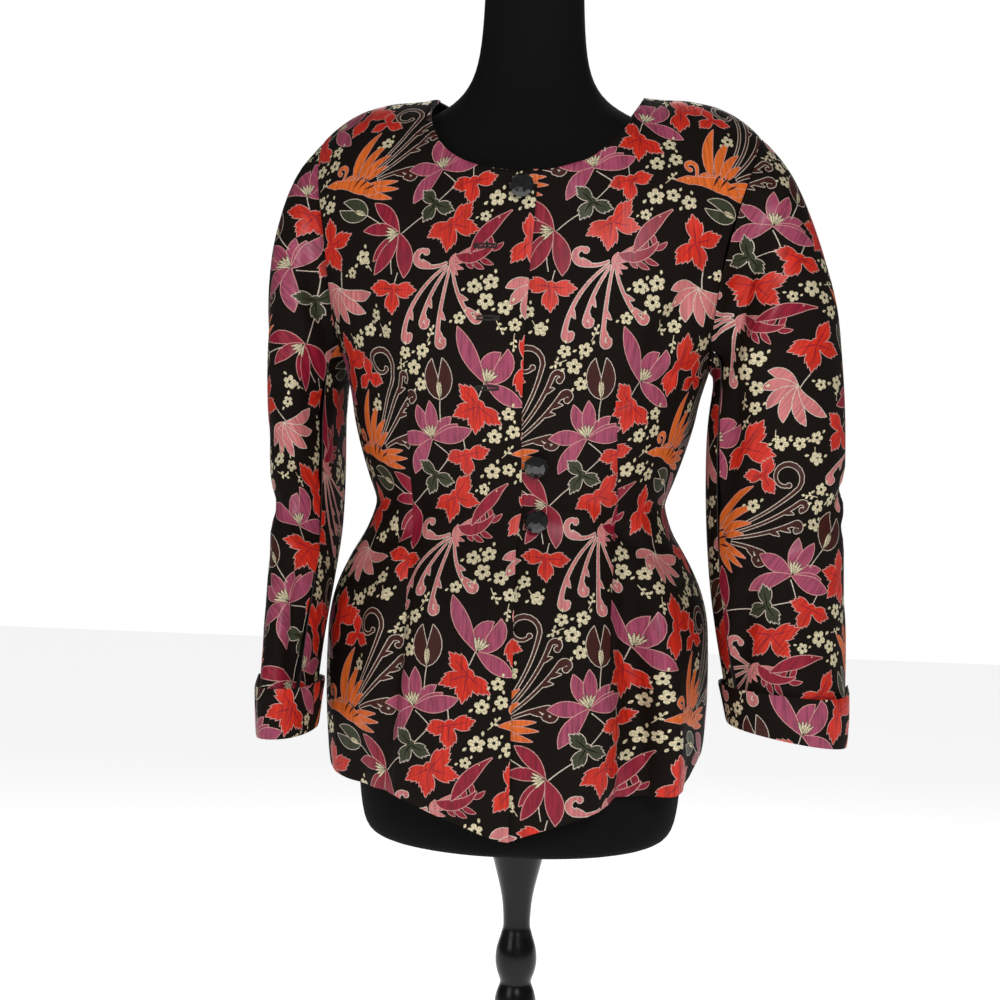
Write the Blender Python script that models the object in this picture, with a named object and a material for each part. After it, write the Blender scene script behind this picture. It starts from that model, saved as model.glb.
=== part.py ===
"""A collarless brocade jacket with a flared peplum, on a black limbless dress form with a turned stand.

Metres, +Z up, the jacket's front towards -Y. The origin is the middle of the foot's underside.
Every cloth piece is a wall of even thickness about a surface that the tables of sections below describe.
"""
import math
from collections import namedtuple

import bmesh
import bpy
import numpy as np

# Driving dimensions
WALL = 0.002            # cloth thickness, brocade with its lining
SEAM = 0.0003           # gap between neighbouring pieces at a seam
SEAM_ANGLE = 1.2 * SEAM # half of that gap, as an angle about the body
ARMHOLE_EASE = 0.0008   # room for the walls' thickness where a sleeve turns away from the body
ROUNDNESS = 2.3         # superellipse exponent of the body's level sections

HEM_Z = 0.784           # level hem
HEM_POINT_DROP = 0.037  # how far the centre front point hangs below it
HEM_POINT_SPAN = 0.105  # half the width of that point
HEM_POINT_X = 0.012     # the point lies on the upper front's edge
HEM_POINT_CURVE = 1.1   # power by which that point's edges bend
HEM_SIDE_RISE = 0.028   # how far the hem curves up at the side seams
HEM_SIDE_POWER = 10     # how closely that curve keeps to the side seam
WAIST_Z = 1.043
ARMPIT_Z = 1.170
NECK_HALF = 0.097       # half the width of the neck opening, at the shoulder seam
NECK_SIDE_Z = 1.427
NECK_FRONT_Z = 1.343
NECK_BACK_Z = 1.408
NECK_ROUNDNESS = 2.2
TUBE_ROUNDNESS = 2.2    # superellipse exponent of the sleeves' and the form's sections
SHOULDER_ROLL = 0.130   # height below the shoulder line over which the panels roll over
LAP = 0.017             # how far each front reaches past the centre line
LAP_LIFT = 0.0034       # how far the upper front rides above the lower one
LAP_FADE = (0.028, 0.070)   # distances from the centre over which that lift fades out
FLUTE_POWER = 0.9       # how a flute grows from the waist to the hem
FLUTE_FADE = (0.7, 1.0) # share of the peplum's height over which it dies away under the waist
ARMHOLE_PULL = 3        # power that keeps the pull towards the armhole near a panel's side

CUFF_DEPTH = 0.044
CUFF_STANDOFF = 0.0026  # middle of the cuff's wall, from the middle of the sleeve's
CUFF_FLARE = 0.003      # how far its top edge leans out
CUFF_SLIT = math.radians(3.0)
CUFF_NOTCH = math.radians(11.0)
CUFF_CORNER = 0.007     # how far the corners beside the slit stand up
SLEEVE_SEAMS = (0.40, 0.60)  # front and back seams, in turns about the sleeve from its outer side
SEAM_TURN = 0.004       # half of a sleeve seam's gap, as an angle

BUTTON_RADIUS = 0.0115
BUTTON_HEIGHT = 0.0070
BUTTON_SHANK = 0.0035
BUTTON_FACETS = 10
ButtonRing = namedtuple("ButtonRing", "height radius")  # shares of the dome's height and radius
BUTTON_DOME = [
    ButtonRing(0.00, 0.30),
    ButtonRing(0.10, 0.90),
    ButtonRing(0.28, 1.00),
    ButtonRing(0.72, 0.74),
    ButtonRing(1.00, 0.34),
]
SHANK_RADIUS = 0.25 * BUTTON_RADIUS

FOOT_RADIUS = 0.180
SHARP_ANGLE = math.radians(40)
PANEL_PLANE = 2 * SEAM + 0.0005  # a point this near the plane between front and back lies on its seam

Ring = namedtuple("Ring", "z half_width front back")
BODY = [
    Ring(0.740, 0.176, 0.148, 0.136),
    Ring(0.790, 0.177, 0.149, 0.137),
    Ring(0.850, 0.181, 0.150, 0.138),
    Ring(0.910, 0.181, 0.147, 0.136),
    Ring(0.950, 0.177, 0.141, 0.131),
    Ring(0.985, 0.163, 0.128, 0.119),
    Ring(1.015, 0.146, 0.113, 0.104),
    Ring(WAIST_Z, 0.137, 0.106, 0.097),
    Ring(1.070, 0.146, 0.115, 0.101),
    Ring(1.105, 0.157, 0.128, 0.106),
    Ring(ARMPIT_Z, 0.172, 0.141, 0.114),
    Ring(1.200, 0.185, 0.142, 0.117),
    Ring(1.250, 0.207, 0.134, 0.119),
    Ring(1.300, 0.224, 0.123, 0.117),
    Ring(1.350, 0.235, 0.112, 0.110),
    Ring(1.400, 0.240, 0.103, 0.098),
    Ring(1.450, 0.240, 0.098, 0.088),
]

Armhole = namedtuple("Armhole", "z x")
ARMHOLE = [
    Armhole(ARMPIT_Z, 0.1720),
    Armhole(1.190, 0.1742),
    Armhole(1.220, 0.1775),
    Armhole(1.277, 0.1855),
    Armhole(1.320, 0.1945),
    Armhole(1.355, 0.2035),
    Armhole(1.388, 0.2080),
]
SHOULDER_TIP = ARMHOLE[-1]

Shoulder = namedtuple("Shoulder", "x z")
SHOULDER = [
    Shoulder(0.000, 1.475),
    Shoulder(0.050, 1.450),
    Shoulder(NECK_HALF, NECK_SIDE_Z),
    Shoulder(0.148, 1.4210),
    Shoulder(0.173, 1.4135),
    Shoulder(0.190, 1.4035),
    Shoulder(SHOULDER_TIP.x, SHOULDER_TIP.z),
    Shoulder(0.235, 1.345),
]

# The jacket hangs a little askew on the form: a sideways shift at each height
Lean = namedtuple("Lean", "z shift")
LEAN = [
    Lean(0.740, -0.004),
    Lean(0.900, -0.004),
    Lean(WAIST_Z, -0.004),
    Lean(ARMPIT_Z, 0.000),
    Lean(1.390, 0.008),
    Lean(1.450, 0.010),
]

# Flutes of the peplum: the angle is from the centre front towards +X, a positive height is a ridge
Flute = namedtuple("Flute", "angle width height")
FLUTES = [
    Flute(41.0, 7.0, -0.027),
    Flute(55.0, 9.0, 0.016),
    Flute(22.0, 10.0, 0.006),
    Flute(-46.0, 9.0, -0.013),
    Flute(-61.0, 10.0, 0.004),
    Flute(-22.0, 10.0, 0.005),
    Flute(118.0, 12.0, 0.008),
    Flute(139.0, 9.0, -0.016),
    Flute(160.0, 11.0, 0.010),
    Flute(202.0, 11.0, 0.010),
    Flute(222.0, 9.0, -0.015),
    Flute(244.0, 12.0, 0.008),
]

# Sections of each sleeve from the armhole down: the outermost and innermost points of a section, half of
# its depth from front to back, and where its middle lies in that direction
Section = namedtuple("Section", "outer_x outer_z inner_x inner_z half_depth middle_y")
SLEEVE_LEFT = [
    Section(0.2285, 1.366, 0.1755, 1.168, 0.068, 0.000),
    Section(0.2490, 1.334, 0.1780, 1.163, 0.070, 0.000),
    Section(0.2685, 1.287, 0.1780, 1.152, 0.069, -0.001),
    Section(0.2860, 1.235, 0.1765, 1.136, 0.067, -0.002),
    Section(0.2955, 1.175, 0.1755, 1.110, 0.065, -0.004),
    Section(0.3020, 1.110, 0.1765, 1.074, 0.062, -0.006),
    Section(0.3045, 1.040, 0.1795, 1.022, 0.058, -0.010),
    Section(0.3060, 0.970, 0.1850, 0.964, 0.054, -0.016),
    Section(0.3070, 0.908, 0.1930, 0.914, 0.050, -0.022),
    Section(0.3095, 0.862, 0.2010, 0.874, 0.048, -0.026),
    Section(0.3100, 0.827, 0.2050, 0.846, 0.047, -0.028),
]
SLEEVE_RIGHT = [
    Section(0.2265, 1.364, 0.1755, 1.168, 0.068, 0.000),
    Section(0.2425, 1.325, 0.1780, 1.163, 0.071, 0.000),
    Section(0.2500, 1.275, 0.1790, 1.152, 0.072, -0.002),
    Section(0.2505, 1.225, 0.1790, 1.136, 0.072, -0.006),
    Section(0.2460, 1.170, 0.1780, 1.110, 0.072, -0.013),
    Section(0.2370, 1.105, 0.1740, 1.076, 0.072, -0.025),
    Section(0.2255, 1.035, 0.1690, 1.022, 0.068, -0.046),
    Section(0.2200, 0.968, 0.1685, 0.964, 0.060, -0.079),
    Section(0.2170, 0.910, 0.1720, 0.910, 0.055, -0.102),
    Section(0.2160, 0.868, 0.1735, 0.869, 0.053, -0.113),
    Section(0.2155, 0.833, 0.1740, 0.835, 0.052, -0.118),
]

FormRing = namedtuple("FormRing", "z half_width front back")
FORM = [
    FormRing(0.720, 0.120, 0.092, 0.090),
    FormRing(0.724, 0.142, 0.110, 0.106),
    FormRing(0.736, 0.152, 0.119, 0.114),
    FormRing(0.780, 0.157, 0.124, 0.118),
    FormRing(0.850, 0.158, 0.125, 0.119),
    FormRing(0.920, 0.150, 0.118, 0.112),
    FormRing(0.980, 0.136, 0.105, 0.098),
    FormRing(WAIST_Z, 0.125, 0.095, 0.086),
    FormRing(1.100, 0.138, 0.112, 0.094),
    FormRing(ARMPIT_Z, 0.153, 0.128, 0.103),
    FormRing(1.230, 0.162, 0.122, 0.108),
    FormRing(1.290, 0.168, 0.106, 0.104),
    FormRing(1.335, 0.168, 0.094, 0.095),
    FormRing(1.365, 0.158, 0.084, 0.084),
    FormRing(1.388, 0.135, 0.074, 0.074),
    FormRing(1.403, 0.106, 0.066, 0.066),
    FormRing(1.418, 0.076, 0.058, 0.060),
    FormRing(1.440, 0.057, 0.051, 0.057),
    FormRing(1.475, 0.049, 0.046, 0.054),
    FormRing(1.530, 0.047, 0.044, 0.052),
    FormRing(1.556, 0.046, 0.043, 0.051),
    FormRing(1.562, 0.040, 0.037, 0.045),
]

Turning = namedtuple("Turning", "z radius")
POST_TOP_Z = FORM[0].z - SEAM
FOOT_TOP_Z = 0.034
POST = [
    Turning(FOOT_TOP_Z + SEAM, 0.024),
    Turning(0.060, 0.023),
    Turning(0.085, 0.017),
    Turning(0.300, 0.015),
    Turning(0.520, 0.0165),
    Turning(0.555, 0.0200),
    Turning(0.566, 0.0185),
    Turning(0.577, 0.0150),
    Turning(0.588, 0.0185),
    Turning(0.598, 0.0200),
    Turning(0.610, 0.0190),
    Turning(0.624, 0.0150),
    Turning(0.634, 0.0130),
    Turning(0.660, 0.0150),
    Turning(0.690, 0.0220),
    Turning(POST_TOP_Z, 0.0300),
]
FOOT = [
    Turning(0.000, FOOT_RADIUS - 0.004),
    Turning(0.004, FOOT_RADIUS),
    Turning(0.014, FOOT_RADIUS),
    Turning(0.020, FOOT_RADIUS - 0.006),
    Turning(0.028, 0.080),
    Turning(FOOT_TOP_Z, 0.040),
]

# Numbers of faces along each piece
PEPLUM_ROWS = 8
BODICE_ROWS = 5
YOKE_ROWS = 10
NECK_COLUMNS = 10
SHOULDER_COLUMNS = 8
SLEEVE_COLUMNS = 2 * YOKE_ROWS  # so that a sleeve's points meet the panels' rows
SLEEVE_ROWS = 14
CUFF_ROWS = 3
CUFF_COLUMNS = 26
FORM_COLUMNS = 28
POST_COLUMNS = 20
FOOT_COLUMNS = 40
FINE = 240              # points of a curve before it is read again at even distances


def along(table, at):
    """The columns of a table after its first, read at `at` on a smooth curve through its rows."""
    rows = np.array(table, dtype=float)
    keys = rows[:, 0]
    slopes = np.gradient(rows, keys, axis=0)
    at = np.clip(at, keys[0], keys[-1])
    low = np.clip(np.searchsorted(keys, at) - 1, 0, len(keys) - 2)
    span = keys[low + 1] - keys[low]
    t = ((at - keys[low]) / span)[..., None]
    span = np.asarray(span)[..., None]
    start = (1 + 2 * t) * (1 - t) ** 2 * rows[low] + t * (1 - t) ** 2 * span * slopes[low]
    end = t * t * (3 - 2 * t) * rows[low + 1] + t * t * (t - 1) * span * slopes[low + 1]
    return np.moveaxis(start + end, -1, 0)[1:]


def signed_power(value, power):
    return np.sign(value) * np.abs(value) ** power


def evenly(points, count):
    """A line of points read again at count + 1 even distances."""
    steps = np.linalg.norm(np.diff(points, axis=0), axis=1)
    length = np.concatenate([[0.0], np.cumsum(steps)])
    at = np.linspace(0.0, length[-1], count + 1)
    return np.stack([np.interp(at, length, points[:, k]) for k in range(points.shape[1])], axis=1)


def smooth_step(value, low, high):
    t = np.clip((value - low) / (high - low), 0.0, 1.0)
    return t * t * (3 - 2 * t)


def flute_height(angle):
    """How far the peplum's hem stands out at an angle, in radians from the centre front towards +X."""
    degrees = np.degrees(angle)
    total = np.zeros_like(degrees)
    for flute in FLUTES:
        off = (degrees - flute.angle + 180.0) % 360.0 - 180.0
        total += flute.height * np.exp(-(off / flute.width) ** 2)
    return total


def hem_height(angle, x):
    """Height of the hem at an angle from the centre front, where the body reaches x."""
    reach = np.clip(1.0 - np.abs(x - HEM_POINT_X) / HEM_POINT_SPAN, 0.0, 1.0)
    drop = np.where(np.cos(angle) > 0, HEM_POINT_DROP * reach ** HEM_POINT_CURVE, 0.0)
    return HEM_Z - drop + HEM_SIDE_RISE * np.abs(np.sin(angle)) ** HEM_SIDE_POWER


def ring_angle(x, z):
    """The angle from the centre front at which the level section at z reaches x."""
    half_width = along(BODY, np.asarray(z, dtype=float))[0]
    return np.arcsin(signed_power(np.clip(x / half_width, -1.0, 1.0), ROUNDNESS / 2))


def ring_point(angle, z):
    """A point of the level section at z."""
    half_width, front, back = along(BODY, z)
    side = signed_power(np.sin(angle), 2 / ROUNDNESS)
    ahead = signed_power(np.cos(angle), 2 / ROUNDNESS)
    depth = np.where(ahead > 0, front, back)
    return np.stack([half_width * side, -depth * ahead, z], axis=-1)


def yoke_point(x, z, facing):
    """A point of the chest (facing -1) or of the upper back (+1), rolling over to the shoulder line."""
    half_width, front, back = along(BODY, z)
    depth = front if facing < 0 else back
    below = np.clip((along(SHOULDER, np.abs(x))[0] - z) / SHOULDER_ROLL, 0.0, 1.0)
    roll = np.sqrt(np.clip(1 - (1 - below) ** 2, 0.0, 1.0))
    round_off = np.clip(1 - (np.abs(x) / half_width) ** ROUNDNESS, 0.0, 1.0) ** (1 / ROUNDNESS)
    return np.stack([x, facing * (depth * round_off * roll + SEAM / 2), z], axis=-1)


def neckline_height(x, lowest):
    reach = np.clip(np.abs(x) / NECK_HALF, 0.0, 1.0)
    dip = (1 - reach ** NECK_ROUNDNESS) ** (1 / NECK_ROUNDNESS)
    return NECK_SIDE_Z - (NECK_SIDE_Z - lowest) * dip


def top_edge(neck_start, lowest):
    """x and z of the neckline from neck_start to the shoulder seam and on to its tip, at each column."""
    turn = np.linspace(ring_turn(neck_start), math.pi / 2, FINE)
    x = NECK_HALF * signed_power(np.sin(turn), 2 / NECK_ROUNDNESS)
    neck = evenly(np.stack([x, neckline_height(x, lowest)], axis=1), NECK_COLUMNS)
    shoulder_x = np.linspace(NECK_HALF, SHOULDER_TIP.x, SHOULDER_COLUMNS + 1)[1:]
    shoulder = np.stack([shoulder_x, along(SHOULDER, shoulder_x)[0]], axis=1)
    return np.concatenate([neck, shoulder])


def ring_turn(x):
    return math.asin(math.copysign(abs(x / NECK_HALF) ** (NECK_ROUNDNESS / 2), x))


def yoke_rows(lowest_row, edge, facing, mirrored):
    """The rows between the armpit's level and the top edge, each reaching the armhole at its sides."""
    rows = []
    reach = np.linspace(-1.0 if mirrored else 0.0, 1.0, len(edge))
    for step in range(1, YOKE_ROWS + 1):
        s = (1 - math.cos(step / YOKE_ROWS * math.pi)) / 2
        z = ARMPIT_Z + (edge[:, 1] - ARMPIT_Z) * s
        x = lowest_row[:, 0] * (1 - s) + edge[:, 0] * s
        armhole_x = along(ARMHOLE, np.array([z[-1]]))[0][0]
        x = x + (armhole_x - x[-1]) * np.abs(reach) ** ARMHOLE_PULL * np.sign(reach)
        rows.append(yoke_point(x, z, facing))
    return rows


def front_surface(side):
    """Rows of points of one front, from the hem up, each from its centre edge to the side seam or armhole."""
    columns = NECK_COLUMNS + SHOULDER_COLUMNS
    rows = []
    for step in range(PEPLUM_ROWS):
        t = (step / PEPLUM_ROWS) ** FLUTE_POWER
        rows.append(peplum_row(ring_angle(-LAP, HEM_Z), math.pi / 2 - SEAM_ANGLE, t, side, columns))
    for z in np.linspace(WAIST_Z, ARMPIT_Z, BODICE_ROWS + 1):
        angle = np.linspace(ring_angle(-LAP, z), math.pi / 2 - SEAM_ANGLE, FINE)
        rows.append(evenly(ring_point(angle, np.full_like(angle, z)), columns))
    edge = top_edge(-LAP, NECK_FRONT_Z)
    rows += yoke_rows(rows[-1], edge, -1, False)
    surface = np.array(rows)
    surface[..., 0] *= side
    return surface


def peplum_row(start, end, t, side, columns):
    """One row of the peplum: t is 0 at the hem and 1 at the waist."""
    angle = np.linspace(start, end, FINE)
    at_hem = ring_point(angle, np.full_like(angle, HEM_Z))
    hem = hem_height(angle, at_hem[:, 0] * side)
    z = hem + (WAIST_Z - hem) * t
    points = ring_point(angle, z)
    flare = flute_height(angle * side) * (1 - t) ** FLUTE_POWER * (1 - smooth_step(t, *FLUTE_FADE))
    seam_fade = np.sqrt(np.abs(np.cos(angle)))
    points[:, 0] += flare * seam_fade * np.sin(angle)
    points[:, 1] -= flare * seam_fade * np.cos(angle)
    return evenly(points, columns)


def back_surface():
    columns = 2 * (NECK_COLUMNS // 2 + SHOULDER_COLUMNS)
    start, end = math.pi / 2 + SEAM_ANGLE, 3 * math.pi / 2 - SEAM_ANGLE
    rows = []
    for step in range(PEPLUM_ROWS):
        t = (step / PEPLUM_ROWS) ** FLUTE_POWER
        rows.append(peplum_row(end, start, t, 1, columns))
    for z in np.linspace(WAIST_Z, ARMPIT_Z, BODICE_ROWS + 1):
        angle = np.linspace(end, start, FINE)
        rows.append(evenly(ring_point(angle, np.full_like(angle, z)), columns))
    half = top_edge(0.0, NECK_BACK_Z)
    thinned = np.concatenate([half[:NECK_COLUMNS:2], half[NECK_COLUMNS:]])
    mirror = thinned[:0:-1] * np.array([-1.0, 1.0])
    edge = np.concatenate([mirror, thinned])
    return np.array(rows + yoke_rows(rows[-1], edge, 1, True))


def armhole_point(turn, side):
    """The armhole's edge: turn is 0 at the shoulder tip, then over the front, armpit and back."""
    middle = (SHOULDER_TIP.z + ARMPIT_Z) / 2
    z = middle + (SHOULDER_TIP.z - ARMPIT_Z) / 2 * np.cos(turn)
    x = along(ARMHOLE, z)[0]
    front, back = yoke_point(x, z, -1), yoke_point(x, z, 1)
    points = np.where((np.sin(turn) >= 0)[..., None], front, back)
    points[..., 0] *= side
    return points


def section_point(section, turn, side):
    outer_x, outer_z, inner_x, inner_z, half_depth, middle_y = section
    out = signed_power(np.cos(turn), 2 / TUBE_ROUNDNESS)
    ahead = signed_power(np.sin(turn), 2 / TUBE_ROUNDNESS)
    x = (outer_x + inner_x) / 2 + (outer_x - inner_x) / 2 * out
    z = (outer_z + inner_z) / 2 + (outer_z - inner_z) / 2 * out
    return np.stack([side * x, middle_y - half_depth * ahead, z], axis=-1)


def sleeve_surface(sections, side, turns):
    """Rows of points of a sleeve from the armhole to the wrist, at the given turns about it."""
    table = [(k, *section) for k, section in enumerate(sections)]
    first = section_point(sections[0], turns, side)
    start = armhole_point(turns, side)
    toward = first - start
    toward /= np.linalg.norm(toward, axis=-1, keepdims=True)
    under = ((1 - np.cos(turns)) / 2) ** 2
    clear = SEAM + ARMHOLE_EASE + WALL / 2 * under
    rows = [start + toward * clear[:, None]]
    for at in np.linspace(0.0, len(sections) - 1, SLEEVE_ROWS):
        section = along(table, np.array([at]))[:, 0]
        rows.append(section_point(section, turns, side))
    return np.array(rows)


def surface_normals(surface):
    across = np.gradient(surface, axis=1)
    up = np.gradient(surface, axis=0)
    normal = np.cross(across, up)
    return normal / np.linalg.norm(normal, axis=-1, keepdims=True)


def material(name, colour, roughness, metallic=0.0):
    made = bpy.data.materials.new(name)
    made.use_nodes = True
    shader = made.node_tree.nodes["Principled BSDF"]
    shader.inputs["Base Color"].default_value = (*colour, 1.0)
    shader.inputs["Roughness"].default_value = roughness
    shader.inputs["Metallic"].default_value = metallic
    return made


def add_object(name, vertices, faces, look, smooth=True):
    mesh = bpy.data.meshes.new(name)
    mesh.from_pydata([tuple(v) for v in vertices], [], faces)
    mesh.materials.append(look)
    made = bpy.data.objects.new(name, mesh)
    bpy.context.scene.collection.objects.link(made)
    shell = bmesh.new()
    shell.from_mesh(mesh)
    bmesh.ops.recalc_face_normals(shell, faces=shell.faces)
    shell.to_mesh(mesh)
    shell.free()
    if smooth:
        mesh.shade_smooth()
        mesh.set_sharp_from_angle(angle=SHARP_ANGLE)
    return made


def add_wall(name, surface, normals, look):
    """A closed wall of even thickness about a grid of points, with the jacket's lean."""
    rows, columns = surface.shape[:2]
    surface = surface.copy()
    surface[..., 0] += along(LEAN, surface[..., 2])[0]
    outside = (surface + normals * WALL / 2).reshape(-1, 3)
    inside = (surface - normals * WALL / 2).reshape(-1, 3)
    shift = rows * columns

    def at(row, column):
        return row * columns + column

    faces = []
    for r in range(rows - 1):
        for c in range(columns - 1):
            quad = (at(r, c), at(r, c + 1), at(r + 1, c + 1), at(r + 1, c))
            faces.append(quad)
            faces.append(tuple(shift + v for v in reversed(quad)))
    rim = [at(0, c) for c in range(columns)]
    rim += [at(r, columns - 1) for r in range(1, rows)]
    rim += [at(rows - 1, c) for c in range(columns - 2, -1, -1)]
    rim += [at(r, 0) for r in range(rows - 2, 0, -1)]
    for a, b in zip(rim, rim[1:] + rim[:1]):
        faces.append((b, a, shift + a, shift + b))
    return add_object(name, np.concatenate([outside, inside]), faces, look)


def add_panel(name, surface, look, lift=None):
    """A wall on a body surface, whose seams in the plane between front and back keep square edges."""
    normals = surface_normals(surface)
    if np.mean(normals[..., 1] * surface[..., 1]) < 0:
        normals = -normals
    if lift is not None:
        surface = surface + normals * lift[..., None]
    at_seam = np.abs(surface[..., 1]) < PANEL_PLANE
    normals[..., 1] = np.where(at_seam, 0.0, normals[..., 1])
    normals /= np.linalg.norm(normals, axis=-1, keepdims=True)
    return add_wall(name, surface, normals, look)


def lap_lift(surface, side):
    """How far the upper front is lifted off the lower one, next to the centre."""
    return LAP_LIFT * (1 - smooth_step(surface[..., 0] * side, *LAP_FADE))


def outward_normals(surface):
    """Normals of a sleeve's grid that point away from the sleeve's middle."""
    normals = surface_normals(surface)
    away = surface - surface.mean(axis=1, keepdims=True)
    return normals if np.mean(np.sum(normals * away, axis=-1)) > 0 else -normals


def ring_normals(surface):
    """Normals of a grid whose rows are closed rings, pointing away from the rings' middles."""
    across = np.roll(surface, -1, axis=1) - np.roll(surface, 1, axis=1)
    normals = np.cross(across, np.gradient(surface, axis=0))
    normals /= np.linalg.norm(normals, axis=-1, keepdims=True)
    away = surface - surface.mean(axis=1, keepdims=True)
    return normals if np.mean(np.sum(normals * away, axis=-1)) > 0 else -normals


def add_sleeve(word, sections, side, look):
    """The upper and under pieces of a sleeve, which share their normals along both seams."""
    step = 2 * math.pi / SLEEVE_COLUMNS
    whole = sleeve_surface(sections, side, np.arange(SLEEVE_COLUMNS) * step)
    normals = ring_normals(whole)
    front_seam, back_seam = (round(seam * SLEEVE_COLUMNS) for seam in SLEEVE_SEAMS)
    spans = {"under": (front_seam, back_seam), "upper": (back_seam - SLEEVE_COLUMNS, front_seam)}
    for part, (first, last) in spans.items():
        columns = np.arange(first, last + 1)
        turns = columns * step
        turns[0] += SEAM_TURN
        turns[-1] -= SEAM_TURN
        surface = sleeve_surface(sections, side, turns)
        add_wall(f"sleeve_{word}_{part}", surface, normals[:, columns % SLEEVE_COLUMNS], look)


def add_cuff(word, sections, side, look):
    """A turned-back band made from the sleeve's own points moved out, slit on its outer side."""
    table = [(k, *section) for k, section in enumerate(sections)]
    last = len(sections) - 1
    length = sections[last - 1].outer_z - sections[last].outer_z
    rows = []
    for row in range(CUFF_ROWS + 1):
        up = row / CUFF_ROWS
        slit = CUFF_SLIT + (CUFF_NOTCH - CUFF_SLIT) * up ** 2
        turns = np.linspace(slit, 2 * math.pi - slit, CUFF_COLUMNS + 1)
        to_slit = np.exp(-np.minimum(turns, 2 * math.pi - turns) / CUFF_NOTCH + 1)
        rise = CUFF_DEPTH * up + CUFF_CORNER * up * np.clip(to_slit, 0, 1)
        level = last - rise / length
        lower = along(table, level)
        points = np.stack([section_point(lower[:, k], turns[k:k + 1], side)[0] for k in range(len(turns))])
        rows.append(points)
    surface = np.array(rows)
    normals = outward_normals(surface)
    lean = np.linspace(0.0, CUFF_FLARE, CUFF_ROWS + 1)[:, None, None]
    surface = surface + normals * (CUFF_STANDOFF + lean)
    add_wall(f"cuff_{word}", surface, normals, look)


def add_turned(name, profile, columns, look):
    """A solid turned about the Z axis from a profile of heights and radii."""
    vertices = []
    turns = np.linspace(0.0, 2 * math.pi, columns, endpoint=False)
    for z, radius in profile:
        vertices += [(radius * math.cos(t), radius * math.sin(t), z) for t in turns]
    return add_object(name, vertices, stacked_faces(len(profile), columns), look)


def stacked_faces(rows, columns):
    """Faces of a closed stack of rings, with a flat cap at each end."""
    faces = [tuple(range(columns - 1, -1, -1))]
    for r in range(rows - 1):
        for c in range(columns):
            d = (c + 1) % columns
            faces.append((r * columns + c, r * columns + d, (r + 1) * columns + d, (r + 1) * columns + c))
    faces.append(tuple((rows - 1) * columns + c for c in range(columns)))
    return faces


def add_form(look):
    """The torso and neck as one smooth solid of level sections."""
    turns = np.linspace(0.0, 2 * math.pi, FORM_COLUMNS, endpoint=False)
    vertices = []
    for ring in FORM:
        side = signed_power(np.sin(turns), 2 / TUBE_ROUNDNESS)
        ahead = signed_power(np.cos(turns), 2 / TUBE_ROUNDNESS)
        depth = np.where(ahead > 0, ring.front, ring.back)
        vertices += [(ring.half_width * s, -d * a, ring.z) for s, d, a in zip(side, depth, ahead)]
    return add_object("form", vertices, stacked_faces(len(FORM), FORM_COLUMNS), look)


def panel_depth(surface, x, z):
    """y of a front's surface at x and z, read between its rows of points."""
    heights = [np.interp(x, row[:, 0], row[:, 2]) for row in surface]
    depths = [np.interp(x, row[:, 0], row[:, 1]) for row in surface]
    return float(np.interp(z, heights, depths))


def add_button(name, surface, x, z, stand, look):
    """A faceted dome on a short shank, square to the front at that place."""
    r, h = BUTTON_RADIUS, BUTTON_HEIGHT
    here = panel_depth(surface, x, z)
    tilt = math.atan2(panel_depth(surface, x, z + r) - panel_depth(surface, x, z - r), 2 * r)
    foot = WALL / 2 + stand + SEAM
    under = foot + BUTTON_SHANK
    profile = [(foot, SHANK_RADIUS)] + [(under + h * ring.height, r * ring.radius) for ring in BUTTON_DOME]
    vertices = []
    for out, radius in profile:
        for k in range(BUTTON_FACETS):
            t = 2 * math.pi * k / BUTTON_FACETS
            vertices.append((radius * math.cos(t), -out, radius * math.sin(t)))
    made = add_object(name, vertices, stacked_faces(len(profile), BUTTON_FACETS), look, smooth=False)
    made.location = (x + float(along(LEAN, np.array(z))[0]), here, z)
    made.rotation_euler = (-tilt, 0.0, 0.0)
    return made


for old in list(bpy.data.objects):
    bpy.data.objects.remove(old, do_unlink=True)

brocade = material("brocade", (0.055, 0.028, 0.022), 0.55)
glass = material("button_black", (0.012, 0.012, 0.013), 0.12)
jersey = material("form_jersey", (0.012, 0.011, 0.011), 0.85)
lacquer = material("stand_lacquer", (0.010, 0.009, 0.009), 0.22)

over = front_surface(-1)[:, ::-1]
under = front_surface(1)
add_panel("front_right", over, brocade, lap_lift(over, -1))
add_panel("front_left", under, brocade)
add_panel("back", back_surface(), brocade)

add_sleeve("left", SLEEVE_LEFT, 1, brocade)
add_sleeve("right", SLEEVE_RIGHT, -1, brocade)
add_cuff("left", SLEEVE_LEFT, 1, brocade)
add_cuff("right", SLEEVE_RIGHT, -1, brocade)

add_button("button_neck", over, 0.004, 1.327, LAP_LIFT, glass)
add_button("button_waist", under, 0.0305, 1.082, 0.0, glass)
add_button("button_hip", under, 0.0310, 1.030, 0.0, glass)

add_form(jersey)
add_turned("post", POST, POST_COLUMNS, lacquer)
add_turned("base", FOOT, FOOT_COLUMNS, lacquer)
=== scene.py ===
import math
from collections import namedtuple

import bmesh
import bpy
import numpy as np
from mathutils import Matrix, Vector
from mathutils.bvhtree import BVHTree
from mathutils.geometry import delaunay_2d_cdt


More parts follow.
